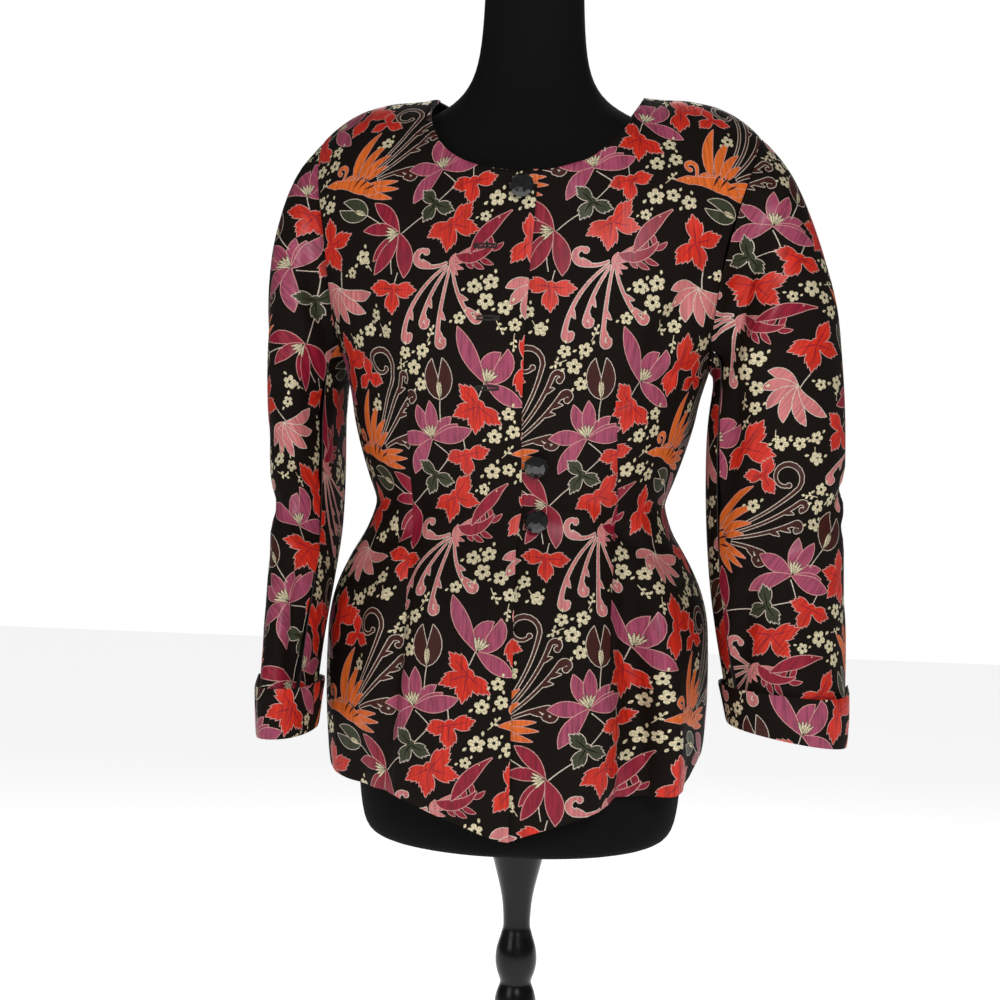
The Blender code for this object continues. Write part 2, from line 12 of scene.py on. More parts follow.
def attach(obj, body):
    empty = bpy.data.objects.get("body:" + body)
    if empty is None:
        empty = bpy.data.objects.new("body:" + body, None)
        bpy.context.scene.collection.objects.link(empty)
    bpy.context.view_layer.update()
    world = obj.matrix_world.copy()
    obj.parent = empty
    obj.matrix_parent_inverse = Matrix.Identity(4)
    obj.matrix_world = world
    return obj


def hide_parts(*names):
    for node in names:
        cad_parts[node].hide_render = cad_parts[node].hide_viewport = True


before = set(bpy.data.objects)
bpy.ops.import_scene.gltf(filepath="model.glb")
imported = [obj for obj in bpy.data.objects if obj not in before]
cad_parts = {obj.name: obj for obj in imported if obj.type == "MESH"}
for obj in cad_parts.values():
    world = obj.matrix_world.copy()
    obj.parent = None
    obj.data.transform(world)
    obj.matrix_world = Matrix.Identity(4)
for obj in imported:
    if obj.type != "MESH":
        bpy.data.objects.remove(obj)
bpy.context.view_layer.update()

# Foot and post of the stand: a round foot and a slim post with one bulb, turned from beech on a lathe,
# filled, sprayed black and polished. The post is screwed into the foot's middle and up into the form.
TURNED_SIDES = 72
RINGS_PER_STEP = 5
THINNEST = 0.9           # least radius along the smoothed profile, as a share of the solid's least
TURNED_EDGE = math.radians(50)
STEEPEST = 1.5           # slope of a smooth curve at a point, in lengths of the shorter step beside it
TINY = 1e-12
LACQUER_BLACK = (0.0034, 0.0032, 0.0031, 1)
LACQUER_WORN = (0.010, 0.0092, 0.0086, 1)


class Wire:
    """A socket of a shader; sums on wires add their Math nodes, any other node comes from node()."""

    def __init__(self, tree, socket=None):
        self.tree = tree
        self.socket = socket

    def node(self, kind, settings=None, inputs=None, output=0):
        made = self.tree.nodes.new("ShaderNode" + kind)
        for name, value in (settings or {}).items():
            setattr(made, name, value)
        for name, value in (inputs or {}).items():
            self.plug(made.inputs[name], value)
        return Wire(self.tree, made.outputs[output])

    def plug(self, target, value):
        if isinstance(value, Wire):
            self.tree.links.new(target, value.socket)
        else:
            target.default_value = value

    def maths(self, operation, first, second):
        return self.node("Math", {"operation": operation}, {0: first, 1: second})

    def __add__(self, other):
        return self.maths("ADD", self, other)

    def __radd__(self, other):
        return self.maths("ADD", other, self)

    def __sub__(self, other):
        return self.maths("SUBTRACT", self, other)

    def __rsub__(self, other):
        return self.maths("SUBTRACT", other, self)

    def __mul__(self, other):
        return self.maths("MULTIPLY", self, other)

    def __rmul__(self, other):
        return self.maths("MULTIPLY", other, self)

    def between(self, low, high):
        """0 below low, 1 above high."""
        return self.node("MapRange", {"clamp": True}, {"Value": self, "From Min": low, "From Max": high})

    def stretched(self, *scale):
        return self.node("VectorMath", {"operation": "MULTIPLY"}, {0: self, 1: scale})

    def noise(self, scale, detail=2.0, roughness=0.5):
        inputs = {"Vector": self, "Scale": scale, "Detail": detail, "Roughness": roughness}
        return self.node("TexNoise", {}, inputs)

    def blend(self, first, second):
        """Two colours mixed by this wire."""
        return self.node("Mix", {"data_type": "RGBA"}, {0: self, 6: first, 7: second}, output=2)

    def bump(self, strength, distance):
        return self.node("Bump", {}, {"Height": self, "Strength": strength, "Distance": distance})


def new_finish(name, **constants):
    """A material with its constant sockets set, and a wire that starts its nodes."""
    finish = bpy.data.materials.new(name)
    finish.use_nodes = True
    surface = finish.node_tree.nodes["Principled BSDF"]
    for socket, value in constants.items():
        surface.inputs[socket.replace("_", " ")].default_value = value
    return finish, surface, Wire(finish.node_tree)


def lacquer_finish():
    """Black lacquer with a faint brush drag round the piece, dust and rubbed patches."""
    finish, surface, wire = new_finish(
        "stand_lacquer", Specular_IOR_Level=0.2, Coat_Weight=0.1, Coat_Roughness=0.09)
    place = wire.node("TexCoord", output="Object")
    dust = place.noise(38.0, 4.0, 0.62).between(0.5, 0.78)
    drag = place.stretched(3.0, 3.0, 160.0).noise(6.0, 3.0, 0.6)
    wire.plug(surface.inputs["Base Color"], dust.blend(LACQUER_BLACK, LACQUER_WORN))
    wire.plug(surface.inputs["Roughness"], 0.16 + 0.12 * drag + 0.14 * dust)
    wire.plug(surface.inputs["Normal"], (drag * 0.6 + dust * 0.4).bump(0.16, 0.0004))
    return finish


def smooth_along(points, count, axis=0):
    """A grid of points read again at count even places along one axis, on smooth curves through them."""
    points = np.moveaxis(np.asarray(points, float), axis, 0)
    at = np.linspace(0, len(points) - 1, count)
    return np.moveaxis(read_at(points, at), 0, axis)


def lengths(vectors):
    """The lengths of vectors, never quite nothing."""
    return np.maximum(np.linalg.norm(vectors, axis=-1, keepdims=True), TINY)


def unit(vectors):
    return vectors / lengths(vectors)


def slopes_through(points):
    """Slopes of a smooth curve through points, eased off at a corner so that it doesn't swing out there."""
    steps = np.diff(points, axis=0)
    before, after = np.concatenate([steps[:1], steps]), np.concatenate([steps, steps[-1:]])
    straight = np.clip((unit(before) * unit(after)).sum(axis=-1, keepdims=True), 0, 1) ** 2
    slope = (before + after) / 2 * straight
    shorter = np.minimum(lengths(before), lengths(after))
    return slope * np.minimum(1, STEEPEST * shorter / lengths(slope))


def read_at(points, at):
    """Points along the first axis read at places between them, on cubic curves through them."""
    slopes = slopes_through(points)
    k = np.clip(at.astype(int), 0, len(points) - 2)
    t = (at - k).reshape((-1,) + (1,) * (points.ndim - 1))
    rise, fall = t * t * (3 - 2 * t), 1 - t * t * (3 - 2 * t)
    return (fall * points[k] + rise * points[k + 1]
            + t * (1 - t) ** 2 * slopes[k] - t * t * (1 - t) * slopes[k + 1])


def turned_profile(node):
    """Heights and radii of a turned solid's rings, from the bottom up."""
    heights = {}
    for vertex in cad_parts[node].data.vertices:
        radius = math.hypot(vertex.co.x, vertex.co.y)
        height = round(vertex.co.z, 5)
        heights[height] = max(radius, heights.get(height, 0.0))
    return np.array(sorted(heights.items()))


def finish_piece(piece, finish, slot, *nodes):
    """What every new piece is given: its finish, the body it moves with and the solids it stands for."""
    piece.data.materials.clear()
    piece.data.materials.append(finish)
    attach(piece, "root")
    if nodes:
        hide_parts(*nodes)


def turn_piece(name, node):
    """Turns a piece as on a lathe: a disc is drawn out ring by ring along the solid's profile."""
    profile = turned_profile(node)
    rings = smooth_along(profile, (len(profile) - 1) * RINGS_PER_STEP + 1)
    rings[:, 1] = np.maximum(rings[:, 1], profile[:, 1].min() * THINNEST)
    bpy.ops.object.select_all(action="DESELECT")
    height, radius = rings[0]
    bpy.ops.mesh.primitive_circle_add(
        vertices=TURNED_SIDES, radius=radius, fill_type="NGON", location=(0, 0, height))
    piece = bpy.context.object
    piece.name = name
    bpy.ops.object.transform_apply(location=True, rotation=True, scale=True)
    bpy.ops.object.mode_set(mode="EDIT")
    bpy.ops.mesh.select_all(action="SELECT")
    for next_height, next_radius in rings[1:]:
        bpy.ops.mesh.extrude_region_move(TRANSFORM_OT_translate={"value": (0, 0, next_height - height)})
        grow = next_radius / radius
        bpy.ops.transform.resize(value=(grow, grow, 1), center_override=(0, 0, next_height))
        height, radius = next_height, next_radius
    bpy.ops.mesh.select_all(action="SELECT")
    bpy.ops.mesh.normals_make_consistent(inside=False)
    bpy.ops.object.mode_set(mode="OBJECT")
    bpy.ops.object.shade_smooth_by_angle(angle=TURNED_EDGE)
    return piece


lacquer = lacquer_finish()
for word, node in (("stand_foot", "base"), ("stand_post", "post")):
    finish_piece(turn_piece(word, node), lacquer, "stand_lacquer", node)

# Dress form: a limbless torso of moulded board with a plain neck, padded thinly and covered with black
# stretch jersey that is drawn tight and glued under its lower edge.
JERSEY_BLACK = (0.0030, 0.0029, 0.0028, 1)
JERSEY_PILE = (0.0105, 0.0100, 0.0095, 1)
FORM_SMOOTHING = 2
MERGE = 0.00001


def jersey_finish():
    """Matte black jersey: fine wales, lint and slight fading where the light falls."""
    finish, surface, wire = new_finish(
        "form_jersey", Specular_IOR_Level=0.05, Sheen_Weight=0.012, Sheen_Roughness=0.5,
        Sheen_Tint=(0.34, 0.33, 0.33, 1))
    place = wire.node("TexCoord", output="Object")
    wales = place.node(
        "TexWave", {"wave_type": "BANDS", "bands_direction": "X"},
        {"Vector": place, "Scale": 190.0, "Distortion": 1.2, "Detail": 2.0, "Detail Scale": 3.0})
    lint = place.noise(240.0, 3.0, 0.6).between(0.62, 0.78)
    faded = place.noise(7.0, 3.0, 0.55)
    pile = 0.35 * faded + 0.28 * lint + 0.18 * wales
    wire.plug(surface.inputs["Base Color"], pile.blend(JERSEY_BLACK, JERSEY_PILE))
    wire.plug(surface.inputs["Roughness"], 0.78 + 0.14 * faded)
    wire.plug(surface.inputs["Normal"], (wales * 0.7 + lint * 0.3).bump(0.35, 0.0004))
    return finish


def copied_solid(name, node):
    """A new object with a merged copy of a solid's mesh."""
    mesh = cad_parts[node].data.copy()
    shape = bmesh.new()
    shape.from_mesh(mesh)
    bmesh.ops.remove_doubles(shape, verts=shape.verts, dist=MERGE)
    shape.to_mesh(mesh)
    shape.free()
    mesh.name = name
    piece = bpy.data.objects.new(name, mesh)
    bpy.context.scene.collection.objects.link(piece)
    return piece


def pick(piece):
    """Makes a piece the one that is selected and worked on."""
    bpy.ops.object.select_all(action="DESELECT")
    piece.select_set(True)
    bpy.context.view_layer.objects.active = piece


form = copied_solid("dress_form", "form")
pick(form)
bpy.ops.object.mode_set(mode="EDIT")
bpy.ops.mesh.select_all(action="SELECT")
bpy.ops.mesh.tris_convert_to_quads(face_threshold=math.radians(60), shape_threshold=math.radians(80))
bpy.ops.object.mode_set(mode="OBJECT")
rounding = form.modifiers.new("padding", "SUBSURF")
rounding.levels = rounding.render_levels = FORM_SMOOTHING
bpy.ops.object.modifier_apply(modifier="padding")
bpy.ops.object.shade_smooth()
finish_piece(form, jersey_finish(), "form_jersey", "form")

# Brocade that the jacket is cut from: a jacquard of black-brown ground with satin figures in coloured
# yarns, each bound round by a pale thread. Its repeat is lotus, leaves, blossom and long-plumed birds.
MM = 0.00095             # metres of cloth for one unit of the drawn repeat, about a millimetre
REPEAT = (206.0, 262.0)
THREAD = 0.75            # width of the thread round a figure, in drawn units
FINE_THREAD = 0.6        # the same round feathers
STAMEN_THREAD = 0.4
TIP = (0.9, 1.6)         # how a thread is kept short at a figure's tip: least turn, most length
DYES = {                 # yarns as they look in daylight, red, green and blue out of 255
    "ground": (21, 13, 8),
    "red": (182, 37, 21),
    "mauve": (140, 60, 84),
    "magenta": (126, 20, 42),
    "pink": (186, 108, 108),
    "orange": (208, 98, 36),
    "olive": (52, 56, 38),
    "brown": (58, 22, 17),
    "cream": (224, 212, 176),
    "silver": (214, 200, 184),
    "blush": (214, 158, 150),
}
SATIN = {"red": 1.0, "mauve": 1.0, "magenta": 0.9, "pink": 0.8, "orange": 0.7, "olive": 0.7, "brown": 0.6}
LUREX = {"cream": 1.0, "silver": 0.8, "blush": 0.55}
figures = []             # the repeat as outlines and dyes, in the order in which they cover each other


def weave(dye, *outlines, thread="silver", edge=THREAD):
    """Adds one figure to the repeat: the thread that binds it round first, then its own yarn inside."""
    figures.extend((grown(outline, edge), thread) for outline in outlines)
    figures.extend((outline, dye) for outline in outlines)


def left_of(ways):
    """The directions to the left of the given ones."""
    return np.stack([-ways[:, 1], ways[:, 0]], axis=1)


def grown(outline, edge):
    """An outline moved outwards, with its sharp tips kept short."""
    out = -left_of(unit(np.roll(outline, -1, axis=0) - outline))
    out = out + np.roll(out, 1, axis=0)
    size = np.maximum(np.linalg.norm(out, axis=1, keepdims=True), TIP[0])
    return outline + out / size * edge * np.minimum(2 / size, TIP[1])


def towards(heading):
    """A step of one unit at a heading in degrees."""
    return np.array([math.cos(math.radians(heading)), math.sin(math.radians(heading))])


def spine(base, heading, length, bend, count=9):
    """Points of a curve that leaves base at a heading and turns evenly by bend, both in degrees."""
    t = (np.arange(count - 1) + 0.5) / (count - 1)
    turn = np.radians(heading + bend * t)
    steps = np.stack([np.cos(turn), np.sin(turn)], axis=1) * length / (count - 1)
    return np.concatenate([[base], np.asarray(base) + np.cumsum(steps, axis=0)])


def band(line, halves):
    """The outline of a band along a line, with its half width at each point."""
    side = left_of(unit(np.gradient(line, axis=0))) * np.asarray(halves)[:, None]
    return np.concatenate([line - side, (line + side)[::-1]])


def disc(place, radius, count=9):
    t = np.arange(count) * 2 * math.pi / count
    return np.asarray(place) + radius * np.stack([np.cos(t), np.sin(t)], axis=1)


def petal(base, heading, length, width, bend=0.0, fullest=0.55):
    """A pointed petal, fullest at that share of its length."""
    line = spine(base, heading, length, bend)
    t = np.linspace(0, 1, len(line)) ** (math.log(0.5) / math.log(fullest))
    return band(line, width / 2 * np.sin(math.pi * t) ** 0.85 + 0.12)


# One lobe of a leaf: places along it and half widths, as shares of its length and its width
LobePoint = namedtuple("LobePoint", "along half")
LOBE_STEPS = 20
LOBE = [
    LobePoint(0.00, 0.06), LobePoint(0.10, 0.13), LobePoint(0.25, 0.33), LobePoint(0.40, 0.45),
    LobePoint(0.55, 0.49), LobePoint(0.70, 0.47), LobePoint(0.65, 0.36), LobePoint(0.75, 0.30),
    LobePoint(0.85, 0.25), LobePoint(0.80, 0.17), LobePoint(0.90, 0.10), LobePoint(1.00, 0.01),
]


def lobe(base, heading, length, width, bend=0.0):
    """One toothed lobe of a leaf."""
    line = spine(base, heading, length, bend, LOBE_STEPS + 1)
    at = [round(LOBE_STEPS * point.along) for point in LOBE]
    half = np.array([[width * point.half] for point in LOBE])
    side = left_of(unit(np.gradient(line, axis=0)))[at] * half
    return np.concatenate([line[at] - side, (line[at] + side)[::-1]])


VEINS = {"red": "magenta", "olive": "ground"}    # the yarn of the veins on each yarn of leaf


def leaf(dye, place, headings, size, thread="blush"):
    """A leaf of toothed lobes that spread from its heart along the given headings, each with a vein."""
    width = size * (0.80 - 0.06 * len(headings))
    lobes = [lobe(place, heading, size, width, 10) for heading in headings]
    weave(dye, disc(place, size * 0.22), *lobes, thread=thread)
    for heading in headings:
        figures.append((petal(place, heading, size * 0.66, 0.9, 10, 0.3), VEINS[dye]))


def curl(base, heading, length, bend, ring, turns, round_it, count=14):
    """A line that ends in a curl of the given ring size, to the left for turns of 1."""
    line = list(spine(base, heading, length, bend, 13))
    direction = heading + bend
    for k in range(count):
        direction += turns * round_it / count
        step = ring * math.radians(round_it / count) * (1 - 0.5 * k / count)
        line.append(line[-1] + step * towards(direction))
    return np.array(line)


# A long feather from its base to its curl: where it heads, its bend, the curl's ring and how far it turns
Plume = namedtuple("Plume", "aside above heading length bend ring turns round_it width barbs")
PLUME_ALONG = [0.0, 0.35, 0.62, 0.85, 1.0]    # places along it, as shares of its length
PLUME_HALF = [0.30, 0.55, 1.0, 0.62, 0.55]    # its half width there, as a share of the fullest


def plume(dye, place, row, thread="silver"):
    """A long feather with thorns on its outer side, that ends in a curl with a knob."""
    base = (place[0] + row.aside, place[1] + row.above)
    line = curl(base, row.heading, row.length, row.bend, row.ring, row.turns, row.round_it)
    half = row.width / 2 * np.interp(np.linspace(0, 1, len(line)), PLUME_ALONG, PLUME_HALF)
    shapes = [band(line, half), disc(line[-1], row.width * 0.50)]
    for k in row.barbs:
        aside, above = line[k + 1] - line[k]
        way = math.degrees(math.atan2(above, aside)) + 16 * row.turns
        shapes.append(petal(line[k], way, row.width * 2.0, row.width * 0.66, 40 * row.turns, 0.4))
    weave(dye, *shapes, thread=thread)


def blossom(place, radius, turn=0.0):
    """A small round flower of five petals, with two seeds beside it."""
    t = np.arange(30) * 2 * math.pi / 30
    r = radius * (0.60 + 0.40 * np.abs(np.cos(2.5 * t)) ** 0.7)
    t = t + math.radians(turn)
    figures.append((np.asarray(place) + np.stack([r * np.cos(t), r * np.sin(t)], axis=1), "cream"))
    figures.append((disc(place, radius * 0.26, 7), "ground"))
    for way in (turn + 36, turn + 180):
        seed = np.asarray(place) + radius * 1.15 * towards(way)
        figures.append((petal(seed, way + 25, radius * 0.62, radius * 0.34), "cream"))


def stem(base, heading, length, bend=0.0, width=1.0, dye="silver"):
    line = spine(base, heading, length, bend, 5)
    figures.append((band(line, np.full(len(line), width / 2)), dye))


def sprig(base, heading, length, bend=0.0):
    """A thin twig with four small leaves."""
    stem(base, heading, length, bend, 0.8, "cream")
    line = spine(base, heading, length, bend, 6)
    for k, side in ((2, 1), (3, -1), (4, 1), (5, 0)):
        figures.append((petal(line[k], heading + bend * k / 5 + 50 * side, 4.2, 2.2), "cream"))


Petal = namedtuple("Petal", "heading length width bend")
OPEN_LOTUS = [
    Petal(48, 29, 10, -8), Petal(122, 33, 11, -16), Petal(84, 34, 11.5, 12), Petal(20, 30, 9, 14),
    Petal(4, 41, 14, 18), Petal(176, 34, 13, 12), Petal(222, 42, 12.5, 24),
]
CUP_LOTUS = [
    Petal(98, 31, 13, -70), Petal(14, 38, 14, 84), Petal(122, 54, 13, -10), Petal(-34, 38, 13, 4),
]
DROOPING_LILY = [
    Petal(118, 40, 12, 30), Petal(160, 35, 11, 30), Petal(222, 34, 9, 12), Petal(246, 43, 12, -10),
    Petal(300, 43, 15, -36),
]


def stamen(place, heading, length, width, bend):
    weave("cream", petal(place, heading, length, width, bend), thread="ground", edge=STAMEN_THREAD)


def flower(dye, place, petals, scale, stamens):
    """A large flower, its stamens spread about a heading."""
    for row in petals:
        shape = petal(place, row.heading, row.length * scale, row.width * scale, row.bend)
        weave(dye, shape, thread="blush")
    for k in (-2, -1, 0, 1, 2):
        stamen(place, stamens + 15 * k, 13 * scale, 2.0, 4 * k)


def bud(dye, base, heading, length):
    """A closed bud of two sepals round its stamens."""
    for side in (1, -1):
        weave(dye, petal(base, heading + 34 * side, length, length * 0.34, -52 * side, 0.45))
    for k in (-1, 0, 1):
        stamen(base, heading + 14 * k, length * 0.42, 2.2, -18 * k)


def fan(dye, base, heading, size, count=6):
    """Curved feathers that spread from one place, like an open fan."""
    for k in range(count):
        turn = heading + 33 * (k - (count - 1) / 2)
        weave(dye, petal(base, turn - 20, size * (0.80 + 0.05 * k), size * 0.26, 52, 0.6))


Feather = namedtuple("Feather", "aside above heading length width bend")
BIRD_TAIL = [
    Plume(-3, 1, 208, 27, -44, 9.0, -1, 200, 6.0, (7, 10)),
    Plume(-3, -2, 216, 80, 46, 4.4, 1, 220, 5.4, (8, 11)),
    Plume(-1, -3, 234, 58, 24, 3.9, 1, 230, 5.0, (7, 10)),
    Plume(1, -3, 258, 72, 10, 4.2, 1, 230, 5.4, (7, 10)),
    Plume(3, -2, 278, 58, 34, 4.2, 1, 230, 5.4, (6, 9)),
]
BIRD_COVERTS = [
    Feather(0, 0, 330, 15, 3.6, 20), Feather(0, 0, 305, 14, 3.6, 10), Feather(0, 0, 60, 11, 3.6, 0),
    Feather(2, 2, 30, 22, 4.6, 14), Feather(3, 1, 5, 13, 3.6, 10),
]
BIRD_FEATHERS = [
    Feather(26, 17, 250, 15, 4.6, 14), Feather(32, 22, 262, 14, 4.6, 12), Feather(38, 27, 276, 12, 4.4, 8),
    Feather(30, 5, 320, 14, 4.4, 30), Feather(24, 1, 316, 12, 4.4, 24), Feather(40, 13, 20, 13, 4.2, 30),
    Feather(17, 3, 300, 10, 4.2, 20),
]
BIRD_BELLY = [0.4, 3.2, 4.6, 5.0, 4.8, 4.2, 3.4, 2.6, 1.6, 0.4]    # half widths along it
BIRD_WING = [0.4, 2.4, 4.0, 5.0, 5.6, 6.0, 5.6, 4.8, 3.8, 2.4, 1.2, 0.3]
FLAME_TAIL = [
    Plume(50, 14, 52, 78, 26, 15.0, 1, 330, 4.6, ()),
    Plume(53, 11, 46, 74, 24, 5.2, -1, 230, 5.2, (9, 12)),
    Plume(56, 8, 38, 66, 18, 5.0, -1, 230, 5.6, (7, 9, 11)),
    Plume(58, 4, 26, 34, -16, 6.4, -1, 250, 6.6, (6, 9)),
]
FLAME_CREST = Plume(18, 3, 64, 13, 34, 5.4, 1, 250, 4.0, ())
FLAME_BODY = [0.3, 2.4, 4.4, 4.0, 4.4, 5.2, 6.4, 7.2, 7.0, 5.8, 3.8, 0.8]
FLAME_STREAKS = [
    Feather(34, -4, 70, 13, 1.8, -20), Feather(40, -5, 58, 14, 1.8, -20), Feather(46, -7, 30, 12, 1.8, -10),
]
FLAME_FEATHERS = [
    Feather(33, 3, 100, 60, 9.5, -44), Feather(38, 4, 84, 48, 8.0, -40), Feather(42, 4, 68, 36, 7.0, -36),
    Feather(46, 3, 52, 24, 6.0, -24), Feather(44, -4, 10, 36, 6.0, -4), Feather(44, -6, -4, 38, 6.0, 4),
    Feather(42, -8, -20, 36, 6.6, 10), Feather(26, 2, 32, 13, 3.2, -14), Feather(21, 4, 36, 11, 3.0, -14),
]


def feathers(dye, place, rows):
    for row in rows:
        base = (place[0] + row.aside, place[1] + row.above)
        shape = petal(base, row.heading, row.length, row.width, row.bend, 0.45)
        weave(dye, shape, thread="blush", edge=FINE_THREAD)


def bird(place):
    """A bird that looks up to the right, with long plumes that fall from the given place."""
    x, y = place
    for row in BIRD_TAIL:
        plume("pink", place, row)
    feathers("pink", place, BIRD_COVERTS)
    feathers("magenta", place, BIRD_FEATHERS)
    belly = spine((x + 6, y + 8), -24, 42, 84, len(BIRD_BELLY))
    weave("magenta", band(belly, BIRD_BELLY), thread="blush")
    wing = spine((x + 20, y + 10), 62, 56, -26, len(BIRD_WING))
    weave("magenta", band(wing, BIRD_WING), thread="blush")
    figures.append((disc((x + 45, y + 45), 0.8, 6), "cream"))


def flame_bird(place):
    """A flame-coloured bird that flies to the left, its brown plumes rising behind it."""
    x, y = place
    for row in FLAME_TAIL:
        plume("brown", place, row)
    feathers("orange", place, FLAME_FEATHERS)
    plume("orange", place, FLAME_CREST, thread="blush")
    body = spine(place, 8, 62, -38, len(FLAME_BODY))
    weave("orange", band(body, FLAME_BODY), thread="blush", edge=FINE_THREAD)
    for row in FLAME_STREAKS:
        base = (x + row.aside, y + row.above)
        figures.append((petal(base, row.heading, row.length, row.width, row.bend), "brown"))
    figures.append((disc((x + 11, y + 3), 0.9, 6), "cream"))


Blossom = namedtuple("Blossom", "across along radius turn")
BLOSSOMS = [
    Blossom(110, 136, 7.4, 10), Blossom(126, 140, 7.6, 30), Blossom(122, 122, 8.2, 50),
    Blossom(140, 116, 7.4, 5), Blossom(130, 257, 7.4, 15), Blossom(148, 262, 6.8, 40),
    Blossom(126, 222, 8.2, 20), Blossom(142, 224, 6.6, 0), Blossom(156, 218, 7.0, 33),
    Blossom(51, 60, 7.6, 12), Blossom(58, 44, 6.6, 30), Blossom(61, 76, 6.8, 2),
    Blossom(42, 74, 6.4, 44), Blossom(20, 94, 6.8, 12), Blossom(144, 17, 6.6, 20),
    Blossom(200, 166, 7.2, 40), Blossom(190, 86, 7.0, 30), Blossom(204, 96, 6.6, 10),
    Blossom(150, 100, 6.6, 18), Blossom(186, 152, 5.8, 8), Blossom(203, 24, 6.8, 26),
    Blossom(98, 106, 6.2, 14), Blossom(8, 110, 6.4, 36), Blossom(116, 204, 5.6, 4),
]
Sprig = namedtuple("Sprig", "across along heading")
SPRIGS = [
    Sprig(132, 106, -70), Sprig(44, 66, 200), Sprig(66, 84, 60), Sprig(4, 152, 120), Sprig(12, 102, 300),
    Sprig(150, 92, 260), Sprig(136, 236, 40), Sprig(178, 94, 300),
]


def draw_repeat():
    """The figures of one repeat, from its top down."""
    flame_bird((146, 240))
    stem((68, 250), -35, 24, -8)
    flower("mauve", (66, 254), OPEN_LOTUS, 1.06, 100)
    stem((101, 240), 96, 14)
    leaf("red", (102, 239), (190, 8, -98), 23)
    stem((65, 217), 46, 24)
    leaf("olive", (64, 217), (132, -24, -126), 21, thread="silver")
    leaf("red", (84, 197), (44, -18, 204, -104), 28)
    stem((52, 204), 212, 26, 14)
    bird((84, 158))
    stem((26, 186), 254, 38, 30)
    flower("magenta", (29, 188), DROOPING_LILY, 1.04, 190)
    leaf("red", (160, 180), (90, -134, -70, 16), 27)
    stem((28, 132), 84, 18, -10)
    leaf("red", (28, 134), (170, -8, -94), 24)
    bud("olive", (200, 207), 160, 32)
    stem((200, 207), -32, 18)
    stem((172, 138), 96, 16, -10)
    fan("pink", (170, 138), -98, 39)
    stem((78, 30), -98, 22, 10)
    bud("brown", (78, 30), 93, 40)
    stem((122, 46), -112, 14)
    flower("mauve", (123, 46), CUP_LOTUS, 1.08, 66)
    leaf("red", (116, 24), (126, 196, -104, -44), 27)
    leaf("red", (163, 64), (84, 14, -108), 31)
    leaf("red", (194, 52), (98, -26, -150), 20)
    for row in BLOSSOMS:
        blossom((row.across, row.along), row.radius, row.turn)
    for row in SPRIGS:
        sprig((row.across, row.along), row.heading, 13, 12)


def linear(dye):
    """A yarn's colour in the renderer's linear scale."""
    shares = np.array(DYES[dye]) / 255
    return np.where(shares > 0.04045, ((shares + 0.055) / 1.055) ** 2.4, shares / 12.92)


def brocade_finish():
    """Satin floats that pucker in upright streaks on a fine ribbed ground. The colour also carries painted
    shade and painted highlights: the puckers are painted into the satin as lighter and darker streaks, and
    the metal thread gets painted glints.
    """
    finish, surface, wire = new_finish("brocade", Specular_IOR_Level=0.1, Coat_Roughness=0.36)
    dye = wire.node("Attribute", {"attribute_name": "dye"})
    satin = wire.node("Attribute", {"attribute_name": "satin"}, output="Fac")
    cloth = wire.node("UVMap", {"uv_map": "weave"})
    lurex = wire.node("Attribute", {"attribute_name": "lurex"}, output="Fac")
    pucker_relief_and_painted_shade = cloth.stretched(420.0, 34.0, 1.0).noise(1.0, 2.5, 0.55)
    swells = cloth.stretched(150.0, 30.0, 1.0).noise(1.0, 2.0, 0.5)
    floats = cloth.stretched(2400.0, 420.0, 1.0).noise(1.0, 1.5, 0.5)
    # Painted highlights: small specks that brighten and darken the metal thread's colour as glints. The same
    # specks also roughen its relief.
    glint_relief_and_painted_glints = cloth.stretched(760.0, 760.0, 1.0).noise(1.0, 3.0, 0.7).between(0.36, 0.66)
    ribs = wire.node(
        "TexWave", {"wave_type": "BANDS", "bands_direction": "Y"},
        {"Vector": cloth, "Scale": 320.0, "Distortion": 0.6, "Detail": 1.0})
    fading = wire.node("TexCoord", output="Object").noise(9.0, 3.0, 0.55)
    # Painted shade: the pucker streaks lighten and darken the satin's colour. The floats add the yarn's own
    # random tone.
    painted_pucker_shade_and_float_tone = satin * (0.56 * pucker_relief_and_painted_shade.between(0.34, 0.60) + 0.2 * floats) + 0.3 * (1 - satin) * floats
    # How bright the dye shows: random tone and fading, plus the painted pucker shade and the painted glints
    # of the metal thread.
    light = 0.52 + painted_pucker_shade_and_float_tone + 0.16 * fading + lurex * (glint_relief_and_painted_glints - 0.34)
    grey = wire.node("CombineColor", {}, {"Red": light, "Green": light, "Blue": light})
    settings = {"data_type": "RGBA", "blend_type": "MULTIPLY"}
    shaded = wire.node("Mix", settings, {0: 1.0, 6: dye, 7: grey}, output=2)
    wire.plug(surface.inputs["Base Color"], shaded)
    wire.plug(surface.inputs["Roughness"], 0.66 - 0.30 * satin + 0.12 * floats - 0.2 * lurex)
    wire.plug(surface.inputs["Metallic"], 0.35 * lurex)
    wire.plug(surface.inputs["Coat Weight"], 0.30 * satin + 0.25 * lurex)
    figured = satin * (0.7 * pucker_relief_and_painted_shade + 0.9 * swells + 0.15 * floats)
    relief = figured + (1 - satin) * (0.15 * ribs + 0.15 * floats) + 0.3 * lurex * glint_relief_and_painted_glints
    wire.plug(surface.inputs["Normal"], relief.bump(0.75, 0.0018))
    return finish


draw_repeat()
brocade = brocade_finish()

